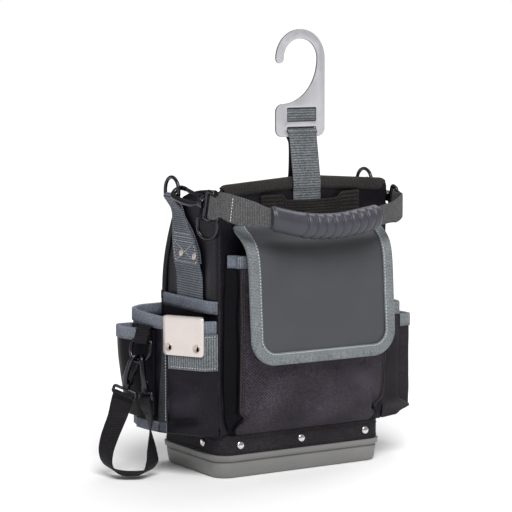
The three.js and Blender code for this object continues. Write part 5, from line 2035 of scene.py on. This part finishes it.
class Eye(NamedTuple):
    """Bar of a swivel eye: its middle, the direction to the ring, and the direction along the bar."""

    at: Vector
    to_ring: Vector
    along: Vector


@dataclass
class SnapHook:
    """Snap hook on a ring: hook with collar and cheeks, sprung gate on its own body, and swivel eye.

    Its own X runs toward the spine, its own Y toward the ring, with the ring's wire near its own origin.
    """

    name: str
    wire_at: Vector
    to_ring: Vector
    to_spine: Vector
    eye_along: Vector
    scale: float
    eye_half: float
    reach: float
    bar: float = 2.6
    bow: float = 7.5
    nose: float = -5.0
    collar: float = 6.0
    pivot: tuple[float, float] = (-5.2, -34.5)
    gate: float = 1.9
    eye_bar: float = -62.0
    eye_top: float = -51.0
    eye_wire: float = 2.1
    stout: float = 1.18
    spine: float = 0.0

    def frames(self) -> tuple[Matrix, Matrix, Eye]:
        """Works out where the hook and its swivel stand.

        Returns:
            Placement of the hook, placement of the swivel, and the eye.
        """
        y_dir = self.to_ring.normalized()
        x_dir = (self.to_spine - y_dir * self.to_spine.dot(y_dir)).normalized()
        eye_dir = (self.eye_along - y_dir * self.eye_along.dot(y_dir)).normalized()
        at = self.wire_at - y_dir * ((self.bow - self.bar) * self.scale - self.reach)
        eye = Eye(at + y_dir * (self.eye_bar * self.scale), y_dir, eye_dir)
        return axes(at, x_dir, y_dir, self.scale), axes(at, eye_dir, y_dir, self.scale), eye

    def hook_mesh(self) -> BMesh:
        """Bow and spine as one bar, with a grooved collar, two cheeks and the gate's pin.

        Returns:
            The mesh in the hook's own place.
        """
        knots = [(2.5, -42), (4.6, -37), (6.8, -31), (8.1, -20), (8, -8)]
        knots += [(self.bow * cos(a), self.bow * sin(a)) for a in spread(6, 0, pi)]
        knots.append((-self.bow, self.nose))
        line = through_points([Vector((x, y, 0)) for x, y in knots], 5)
        bar = self.bar * self.stout
        bow = tube_mesh(
            line, UP, lambda t: (
                bar * (1.05 - 0.2 * t + self.spine * (1 - t) ** 2),
                bar * (1.0 + 0.12 * sin(pi * t) - 0.1 * t + self.spine * (1 - t) ** 2)))
        upright = Matrix.Rotation(-pi / 2, 4, "X")
        wide = self.collar
        ring = [
            (3.1, -48), (wide - 0.8, -48), (wide, -47.2), (wide, -45.4), (wide - 0.7, -44.8),
            (wide - 0.7, -44.2), (wide, -43.6), (wide, -41.4), (4.6, -40), (0, -39.6), (0, -42), (3.1, -42),
            (3.1, -48)]
        collar = lathe_mesh(ring, upright, 24)
        cheek = [
            (-8.2, -34.5), (-7.4, -41), (-1, -41), (-2.2, -34.5), (-3, -32.3), (-5.2, -31.4), (-7.4, -32.3)]
        sides = [plate_mesh([cheek], Matrix.Translation((0, 0, z)), 1.4, 0.3) for z in (2.4, -3.8)]
        pin = [(0, -4.3), (1.5, -4.3), (1.5, -3.9), (1.2, -3.8), (1.2, 3.8), (1.5, 3.9), (1.5, 4.3), (0, 4.3)]
        return join_meshes(bow, collar, *sides, lathe_mesh(pin, Matrix.Translation((*self.pivot, 0)), 14))

    def gate_mesh(self) -> BMesh:
        """Lever from its round foot on the pin to the nose of the bow.

        Returns:
            The mesh in the hook's own place.
        """
        foot = Vector(self.pivot)
        tip = Vector((-self.bow, self.nose - 0.75))
        along = (tip - foot).normalized()
        side = Vector((-along.y, along.x))
        turn = spread(14, radians(50), radians(310))
        line = [tip + side * self.gate]
        line += [foot + along * (2.9 * cos(a)) + side * (2.9 * sin(a)) for a in turn]
        line.append(tip - side * self.gate)
        hole = [foot + Vector((cos(a), sin(a))) * 1.6 for a in spread(12, 0, 2 * pi)[:-1]]
        loops = [[tuple(p) for p in line], [tuple(p) for p in hole]]
        return plate_mesh(loops, Matrix.Translation((0, 0, -2)), 4, 0.45)

    def swivel_mesh(self) -> BMesh:
        """Oblong wire eye with a post up into the collar.

        Returns:
            The mesh in the swivel's own place.
        """
        half = self.eye_half / self.scale
        bend = 3.0
        corners = (
            (half, self.eye_top, 0), (-half, self.eye_top, 90), (-half, self.eye_bar, 180),
            (half, self.eye_bar, 270))
        line = []
        for x, y, start in corners:
            centre = Vector((x - copysign(bend, x), y + (bend if y == self.eye_bar else -bend), 0))
            line += [centre + flat(start + a) * bend for a in spread(5, 0, 90)]
        wire = self.eye_wire * self.stout
        eye = tube_mesh(line, UP, lambda t: (wire, wire), closed=True, sides=12)
        post = [
            (0, self.eye_top - 0.4), (3.4, self.eye_top), (3.4, self.eye_top + 1.2), (2.6, -49), (2.6, -43),
            (0, -43)]
        return join_meshes(eye, lathe_mesh(post, Matrix.Rotation(-pi / 2, 4, "X"), 18))

    def build(self) -> Eye:
        """Makes the hook, the gate on its own body and the swivel.

        Returns:
            The eye that a strap goes through.
        """
        at_hook, at_swivel, eye = self.frames()
        made = (
            ("hook", self.hook_mesh(), at_hook, POUCH),
            ("gate", self.gate_mesh(), at_hook, f"{self.name}_gate"),
            ("swivel", self.swivel_mesh(), at_swivel, POUCH))
        for part, bm, place, body in made:
            node = f"{self.name}_{part}"
            piece(settle(bm, place), f"{node}_metal", GUNMETAL, node, body=body, crease=40)
        return eye


def folded_end(eye: Eye, bar: float, aside: Vector, tail: float, width: float) -> list[Station]:
    """End of a strap folded through an eye.

    Args:
        eye: the eye.
        bar: radius of its wire.
        aside: side on which the strap leaves.
        tail: length of the tail behind.
        width: width of the strap.

    Returns:
        Stations from the tail to where the strap leaves.
    """
    level = aside - eye.to_ring * aside.dot(eye.to_ring)
    side = level.cross(eye.along).cross(eye.along).normalized()
    out = side * copysign(1, side.dot(aside))
    loop = bar + GAP + WEB / 2

    def place(run: float, off: float) -> Vector:
        """Spot beside the eye."""
        return eye.at + eye.to_ring * run + out * off

    places = [place(-tail, -1.4), place(-8, -1.5)]
    places += [place(loop * cos(a), loop * sin(a)) for a in spread(6, -pi / 2, pi / 2)]
    places.append(place(-8, 1.4))
    return [Station(p, eye.along, width) for p in places]


@dataclass
class Handle:
    """Carry handle: a web through the eyes of two snap hooks with a moulded grip round it."""

    ring: SideStrap
    curve: tuple[WebRow, ...] = (
        WebRow(-123.4, -86, 318.1, 28), WebRow(-118.5, -98, 315.4, 32), WebRow(-109, -109.5, 311.6, 32),
        WebRow(-96, -118, 308.4, 28), WebRow(-82, -123, 304.9, 22), WebRow(-42, -129.5, 295.2, 22),
        WebRow(0, -131.5, 292.4, 22), WebRow(42, -129.5, 296.8, 22), WebRow(82, -123, 302.1, 23),
        WebRow(96, -118, 303.7, 27), WebRow(109, -109.5, 307, 28), WebRow(118.5, -98, 308.5, 27),
        WebRow(123.4, -86, 309.3, 25.5))
    snap_z: float = 327.6
    snap_lean: float = 42.0
    eye_half: float = 15.6
    eye_wire: float = 2.1
    end_width: float = 25.5
    tail: float = 12.0
    stitch_from_end: float = 17.0
    grip_from: float = -79.5
    grip_to: float = 62.0
    grip_tall: float = 14.4
    grip_deep: float = 12.2
    grooves: tuple[float, ...] = (-39, -27.6, -16.2, -4.8, 6.4, 17.6, 28.8, 40, 51)
    groove_depth: float = 2.0
    slot_from: float = -58.0
    slot_to: float = 50.0

    def snap(self, hand: Hand, climb: float) -> Eye:
        """Snap hook at one end, clipped to that side's D-ring.

        Args:
            hand: side of the pouch.
            climb: how steeply the hook points up to its ring.

        Returns:
            The eye for the web.
        """
        sign, ring = hand.value, self.ring
        lean = radians(self.snap_lean)
        return SnapHook(
            f"handle_snap_{hand.name.lower()}",
            wire_at=Vector((sign * ring.ring_x, ring.ring_y - ring.ring_half, self.snap_z)),
            to_ring=Vector((sign * 8.5, 63, climb)),
            to_spine=Vector((sign * cos(lean), 0, -sin(lean))),
            eye_along=UP, scale=1.0, eye_half=self.eye_half, reach=ring.wire + 6 * GAP).build()

    def build(self) -> None:
        """Makes the hooks, the web with its stitches, and the grip."""
        left, right = self.snap(Hand.LEFT, 13), self.snap(Hand.RIGHT, 18)
        stations = folded_end(left, self.eye_wire, -ASIDE, self.tail, self.end_width)
        stations += [Station(Vector(row[:3]), UP, row.width) for row in self.curve]
        stations += folded_end(right, self.eye_wire, ASIDE, self.tail, self.end_width)[::-1]
        piece(ribbon_mesh(stations, per_step=8), "handle_strap", GREY_TWILL, "handle_web", crease=60)
        line = Track(through_points([Vector(row[:3]) for row in self.curve], 20))
        self.build_stitches(line)
        self.build_grip(line)

    def build_stitches(self, line: Track) -> None:
        """Sews a pale row across the web near each end.

        Args:
            line: centre line of the web.
        """
        seam = Seam("handle_stitches", PALE_THREAD)
        for run, slant in ((self.stitch_from_end, 0.12), (line.length - self.stitch_from_end, -0.12)):
            spots = []
            for h in spread(8, -15, 15):
                out = line.along(run + slant * h).cross(UP).normalized()
                spots.append(line.at(run + slant * h) + out * (WEB / 2 + 0.15) + UP * h)
            seam.sew(spots, [out] * len(spots), pitch=3.4, length=2.7, width=0.95)
        seam.finish_piece()

    def grip_radius(self, x: float, turn: float) -> float:
        """Share of the full section: finger grooves in front and below, a long slot on top.

        Args:
            x: place along the grip.
            turn: angle round it, nought at the front, a quarter turn on top.

        Returns:
            The share.
        """
        front = smoothstep(cos(turn + 0.55), -0.45, 0.2)
        bow = -6.0 * max(-sin(turn), 0.0) ** 2
        groove = sum(bump(x - at - bow, 1.2) for at in self.grooves)
        pads = [(a + b) / 2 for a, b in zip(self.grooves, self.grooves[1:])]
        swag = sum(bump(x - at - bow, 4) for at in pads)
        slot = smoothstep(x, self.slot_from - 1, self.slot_from + 1) * smoothstep(self.slot_to - x, -1, 1)
        dashes = smoothstep(cos(2 * pi * (x + 1) / 14.5), -0.5, -0.2)
        on_top = bump(turn - 0.62, 0.075) * slot * dashes
        ends = smoothstep(x, self.grip_from + 4, self.grip_from)
        ends += smoothstep(x, self.grip_to - 4, self.grip_to)
        dent = self.groove_depth * groove * front - 0.9 * swag * front + 0.5 * on_top
        return 1 - 0.14 * ends - dent / self.grip_tall

    def build_grip(self, line: Track) -> None:
        """Makes the grip round the middle of the web.

        Args:
            line: centre line of the web.
        """
        xs, marks = [p.x for p in line.points], line.marks
        columns = []
        for x in spread(300, self.grip_from, self.grip_to):
            i = max(k for k, low in enumerate(xs[:-1]) if low <= x)
            run = lerp(marks[i], marks[i + 1], (x - xs[i]) / (xs[i + 1] - xs[i]))
            at = line.at(run)
            out = line.along(run).cross(UP).normalized()
            column = []
            for turn in spread(72, 0, 2 * pi)[:-1]:
                share = self.grip_radius(x, turn if turn < pi else turn - 2 * pi)
                deep, tall = self.grip_deep * share * cos(turn), self.grip_tall * share * sin(turn)
                column.append(at + out * deep + UP * tall)
            columns.append(column)
        bm = grid_mesh(list(zip(*columns)), closed_v=True, capped=True)
        piece(bm, "handle_moulded_grip", GRIP_RUBBER, "handle_grip", crease=70)


@dataclass
class TapeStrap:
    """Black web loop that hangs from the tape ring on two small snap hooks."""

    pocket: OuterPocket
    scale: float = 0.72
    spine: float = 0.6
    eye_half: float = 14.0
    eye_wire: float = 1.5
    width: float = 24.0
    tail: float = 17.0
    route: tuple[TapeRow, ...] = (
        TapeRow(-24, 73, 3, 15), TapeRow(-29, 60, 5, 22), TapeRow(-34.5, 45, 8, 32), TapeRow(-38, 29, 10, 45),
        TapeRow(-35.5, 15.5, 11, 60), TapeRow(-24, 7.5, 12, 78), TapeRow(-8, 5.5, 12, 95),
        TapeRow(8, 8, 12, 112), TapeRow(15, 18, 11, 122), TapeRow(14.5, 34, 10, 110), TapeRow(13, 52, 8, 90),
        TapeRow(12, 68, 5, 70))
    across: Vector = field(default_factory=lambda: Vector((0.848, -0.531, 0)))
    facing: Vector = field(default_factory=lambda: Vector((-0.531, -0.848, 0)))

    @property
    def ring_foot(self) -> Vector:
        """Lowest place on the tape ring's wire."""
        return self.pocket.ring_bar + self.pocket.ring_away * (self.pocket.leg + self.pocket.half)

    def turned(self, degrees: float) -> Vector:
        """Level direction turned from across toward facing."""
        turn = radians(degrees)
        return self.across * cos(turn) + self.facing * sin(turn)

    def snap(self, name: str, along: float, lean: float, turn: float) -> Eye:
        """Small snap hook on the tape ring.

        Args:
            name: name of its nodes.
            along: place along the ring's bow.
            lean: lean of the hook in degrees.
            turn: turn of its eye in degrees.

        Returns:
            The eye for the strap.
        """
        pocket = self.pocket
        sag = sqrt(pocket.half**2 - along**2) - pocket.half
        wire = self.ring_foot + pocket.tab_along * along + pocket.ring_away * sag
        tilt = radians(lean)
        to_ring = UP * cos(tilt) + pocket.tab_along * sin(tilt) - pocket.tab_out * 0.06
        to_spine = pocket.tab_out + pocket.tab_along * copysign(0.5, along)
        return SnapHook(
            name, wire_at=wire, to_ring=to_ring, to_spine=to_spine, eye_along=self.turned(turn),
            scale=self.scale, eye_half=self.eye_half, reach=pocket.wire + 4 * GAP, spine=self.spine).build()

    def build(self) -> None:
        """Makes the hooks, the strap and the stitches below its folds."""
        rear = self.snap("tape_snap_rear", -5, 20, 15)
        front = self.snap("tape_snap_front", 5, -9, 58)
        foot = self.ring_foot
        middle = []
        for row in self.route:
            at = foot + self.across * row.across + self.facing * row.out
            at.z = row.z
            middle.append(Station(at, self.turned(row.turn), self.width))
        ends = [folded_end(eye, self.eye_wire, self.facing, self.tail, self.width) for eye in (rear, front)]
        stations = [*ends[0], *middle, *reversed(ends[1])]
        piece(ribbon_mesh(stations, per_step=8), "tape_loop", BLACK_WEB, "tape_strap", crease=60)
        seam = Seam("tape_loop_stitches", DARK_THREAD)
        for eye in (rear, front):
            level = self.facing - eye.to_ring * self.facing.dot(eye.to_ring)
            out = (level - eye.along * level.dot(eye.along)).normalized()
            spots = [eye.at - eye.to_ring * 12 + out * 2.5 + eye.along * a for a in spread(6, -10, 10)]
            seam.sew(spots, [out] * len(spots), width=0.8)
        seam.finish_piece()


@dataclass
class HangingHook:
    """Flat steel hook on a grey strap that comes out of the panel's front and goes back down behind it."""

    form: BodyForm = FORM
    x: float = -6.8
    y: float = -73.2
    thickness: float = 3.0
    left: float = -35.0
    right: float = 32.0
    foot: float = 390.7
    bend: float = 9.0
    slot_half: float = 19.8
    slot_corner: float = 1.6
    slots: tuple[tuple[float, float], ...] = ((395.6, 402.0), (408.0, 424.0))
    bow_x: float = -1.4
    bow_z: float = 480.0
    inner: float = 22.7
    outer: float = 33.4
    throat_x: float = -24.3
    throat_half: tuple[float, float] = (47.0, 51.5)
    cheek_z: float = 419.0
    strap_width: float = 37.0
    foot_x: float = 1.6
    fold_row: int = 14

    @staticmethod
    def arc(
        x: float, z: float, wide: float, high: float, start: float, end: float, steps: int = 26
    ) -> Outline:
        """Points of an arc of an ellipse, angles in degrees, both ends counted."""
        turns = spread(steps, radians(start), radians(end))
        return [(x + wide * cos(a), z + high * sin(a)) for a in turns]

    def outline(self) -> Outline:
        """Outline of the hook: foot, back edge, bow, nose, throat and cheek.

        Returns:
            Points in the plate's own plane.
        """
        bend = self.bend
        nose = (self.outer - self.inner) / 2
        wide, high = self.throat_half
        line = self.arc(self.right - bend, self.foot + bend, bend, bend, -90, 0)
        line += self.arc(self.bow_x, self.bow_z, self.outer, self.outer, 0, 180)
        line += self.arc(self.bow_x - self.outer + nose, self.bow_z, nose, nose, 180, 360)[1:-1]
        line += self.arc(self.bow_x, self.bow_z, self.inner, self.inner, 180, 0)
        line += self.arc(self.bow_x + self.throat_x, self.bow_z, wide, high, 0, -90)[1:]
        cheek = self.bow_z - high - self.cheek_z
        line += self.arc(self.left + cheek, self.cheek_z, cheek, cheek, 90, 180)
        line += self.arc(self.left + bend, self.foot + bend, bend, bend, 180, 270)
        return line

    def slot(self, low: float, high: float) -> Outline:
        """Slot with rounded corners across the plate.

        Args:
            low: height of its lower edge.
            high: height of its upper edge.

        Returns:
            Points in the plate's own plane.
        """
        r = self.slot_corner
        side, low, high = self.slot_half - r, low + r, high - r
        line = []
        for x, z, start in ((side, low, -90), (side, high, 0), (-side, high, 90), (-side, low, 180)):
            line += self.arc(x, z, r, r, start, start + 90, 4)
        return line

    def width_at(self, z: float) -> float:
        """Width of the strap: pressed into the slots, spread out behind the plate."""
        if z < 392:
            return self.strap_width
        return 2 * self.slot_half + (3.0 if 401 < z < 408 or z > 422 else -0.3)

    def route(self) -> Outline:
        """Line of the strap: up the panel's front, through the slots, over and down behind.

        Returns:
            Places in depth and height.
        """
        front, back = self.y - self.thickness / 2, self.y + self.thickness / 2
        panel, rear = self.form.panel_front, self.form.thickness
        return [
            (panel(300) - 1.5, 300), (panel(330) - 2, 326), (front - 1.6, 338), (front - 1.6, 390),
            (front - 1.6, 395.6), (front - 0.7, 397.8), (back + 0.7, 399.8), (back + 1.6, 402),
            (back + 1.2, 406), (back - 0.9, 410.5), (back - 1.5, 415.5), (back - 0.9, 420), (back + 0.7, 423),
            (back + 2.6, 424.6), (back + 4.6, 424.2), (back + 5.4, 421), (back + 4.2, 404), (back + 1.9, 393),
            (back - 0.9, 386), (back - 1.3, 380), (back + 0.6, 367), (back + 3.6, 352),
            (panel(340) + rear + 3.2, 340), (panel(318) + rear + 2.2, 322), (panel(300) + rear + 1.5, 300)]

    def build(self) -> None:
        """Makes the hook and its strap."""
        at = Vector((self.x, self.y + self.thickness / 2, 0))
        loops = [self.outline(), *[self.slot(low, high) for low, high in self.slots]]
        made = piece(
            plate_mesh(loops, axes(at, ASIDE, UP), self.thickness, 0.8), "hook", HOOK_STEEL, "hook_plate",
            crease=40)
        # the hook's side faces take the darker steel: painted shade along its edges
        made.data.materials.append(material_of(EDGE_SHADE_STEEL))
        for face in made.data.polygons:
            face.material_index = int(abs(face.normal.y) < 0.6)
        stations = []
        for y, z in self.route():
            x = lerp(self.foot_x, self.x, clamp((z - 319) / 80, -0.3, 1))
            stations.append(Station(Vector((x, y, z)), ASIDE, self.width_at(z)))
        fold = self.fold_row + 1
        piece(ribbon_mesh(stations[:fold]), "hook_web", GREY_WEB, "hook_strap", crease=60)
        # the run behind the plate is drawn in black web: painted shade on the grey strap's back run
        piece(ribbon_mesh(stations[fold - 1:]), "hook_web_lining", BLACK_WEB, crease=60)


@dataclass
class Studio:
    """Pale floor, soft light and the camera at the photo's angle."""

    azimuth: float = -32.061
    tilt: float = 6.316
    stand: Vector = field(default_factory=lambda: Vector((-1366.75, -2147.173, 527.148)))
    focal_share: float = 2160.149 / 512
    sensor: float = 36.0
    floor_half: float = 40.0
    floor_drop: float = 0.0002
    far_end: float = 60.0
    room_light: float = 0.36

    def build(self) -> None:
        """Makes the floor, the lights and the camera."""
        self.build_floor()
        self.build_lights()
        self.build_camera()

    def build_floor(self) -> None:
        """Lays a plain pale floor just under the tray."""
        bm = bmesh.new()
        bmesh.ops.create_grid(bm, x_segments=1, y_segments=1, size=self.floor_half)
        bmesh.ops.translate(bm, vec=(0, 0, -self.floor_drop), verts=bm.verts[:])
        mesh = bpy.data.meshes.new("floor")
        bm.to_mesh(mesh)
        bm.free()
        shader = Shader("pale_floor")
        shader.shade(Base_Color=(0.95, 0.95, 0.95, 1), Roughness=0.9, Specular_IOR_Level=0.1)
        mesh.materials.append(shader.material)
        floor = bpy.data.objects.new("floor", mesh)
        bpy.context.scene.collection.objects.link(floor)

    def build_lights(self) -> None:
        """Lights the room evenly, with a large soft key from the upper left and a rim light from the rear."""
        scene = bpy.context.scene
        scene.view_settings.view_transform = "Standard"
        world = bpy.data.worlds.new("studio_room")
        world.use_nodes = True
        nodes, links = world.node_tree.nodes, world.node_tree.links
        room, backdrop = nodes["Background"], nodes.new("ShaderNodeBackground")
        room.inputs["Strength"].default_value = self.room_light
        room.inputs["Color"].default_value = (1, 1, 1, 1)
        backdrop.inputs["Color"].default_value = (1, 1, 1, 1)
        seen, choose = nodes.new("ShaderNodeLightPath"), nodes.new("ShaderNodeMixShader")
        links.new(seen.outputs["Is Camera Ray"], choose.inputs[0])
        links.new(room.outputs[0], choose.inputs[1])
        links.new(backdrop.outputs[0], choose.inputs[2])
        links.new(choose.outputs[0], nodes["World Output"].inputs["Surface"])
        scene.world = world
        lamps = (
            ("key_light", Vector((-0.4, -1.0, 1.25)), 2.7, 32.0),
            ("rim_light", Vector((0.9, 0.5, 1.3)), 0.9, 40.0))
        for name, away, strength, spread_angle in lamps:
            light = bpy.data.lights.new(name, "SUN")
            light.energy = strength
            light.angle = radians(spread_angle)
            lamp = bpy.data.objects.new(name, light)
            lamp.rotation_euler = (-away).to_track_quat("-Z", "Y").to_euler()
            scene.collection.objects.link(lamp)

    def build_camera(self) -> None:
        """Stands the camera where the photo was taken from."""
        turn, dip = radians(self.azimuth), radians(self.tilt)
        ahead = Vector((-sin(turn) * cos(dip), cos(turn) * cos(dip), -sin(dip)))
        data = bpy.data.cameras.new("photo_camera")
        data.sensor_fit = "HORIZONTAL"
        data.sensor_width = self.sensor
        data.lens = self.focal_share * self.sensor
        data.clip_end = self.far_end
        camera = bpy.data.objects.new("photo_camera", data)
        camera.location = self.stand * MM
        camera.rotation_euler = ahead.to_track_quat("-Z", "Y").to_euler()
        bpy.context.scene.collection.objects.link(camera)
        bpy.context.scene.camera = camera


def main() -> None:
    """Builds the pouch piece by piece over its frame."""
    logging.basicConfig(level=logging.INFO, format="%(name)s %(message)s")
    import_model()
    left, right = SideStrap(Hand.LEFT), SideStrap(Hand.RIGHT)
    outer = OuterPocket()
    parts = (
        Tray(), Skirt(), PouchBody(), FrontPocket(), Flap(), left, right, SlotPocket(), HangRing(),
        PlatePocket(), RightPockets(), outer, Handle(left), TapeStrap(outer), HangingHook(), Studio())
    for part in parts:
        log.info("building %s", type(part).__name__)
        part.build()


if __name__ == "__main__":
    main()
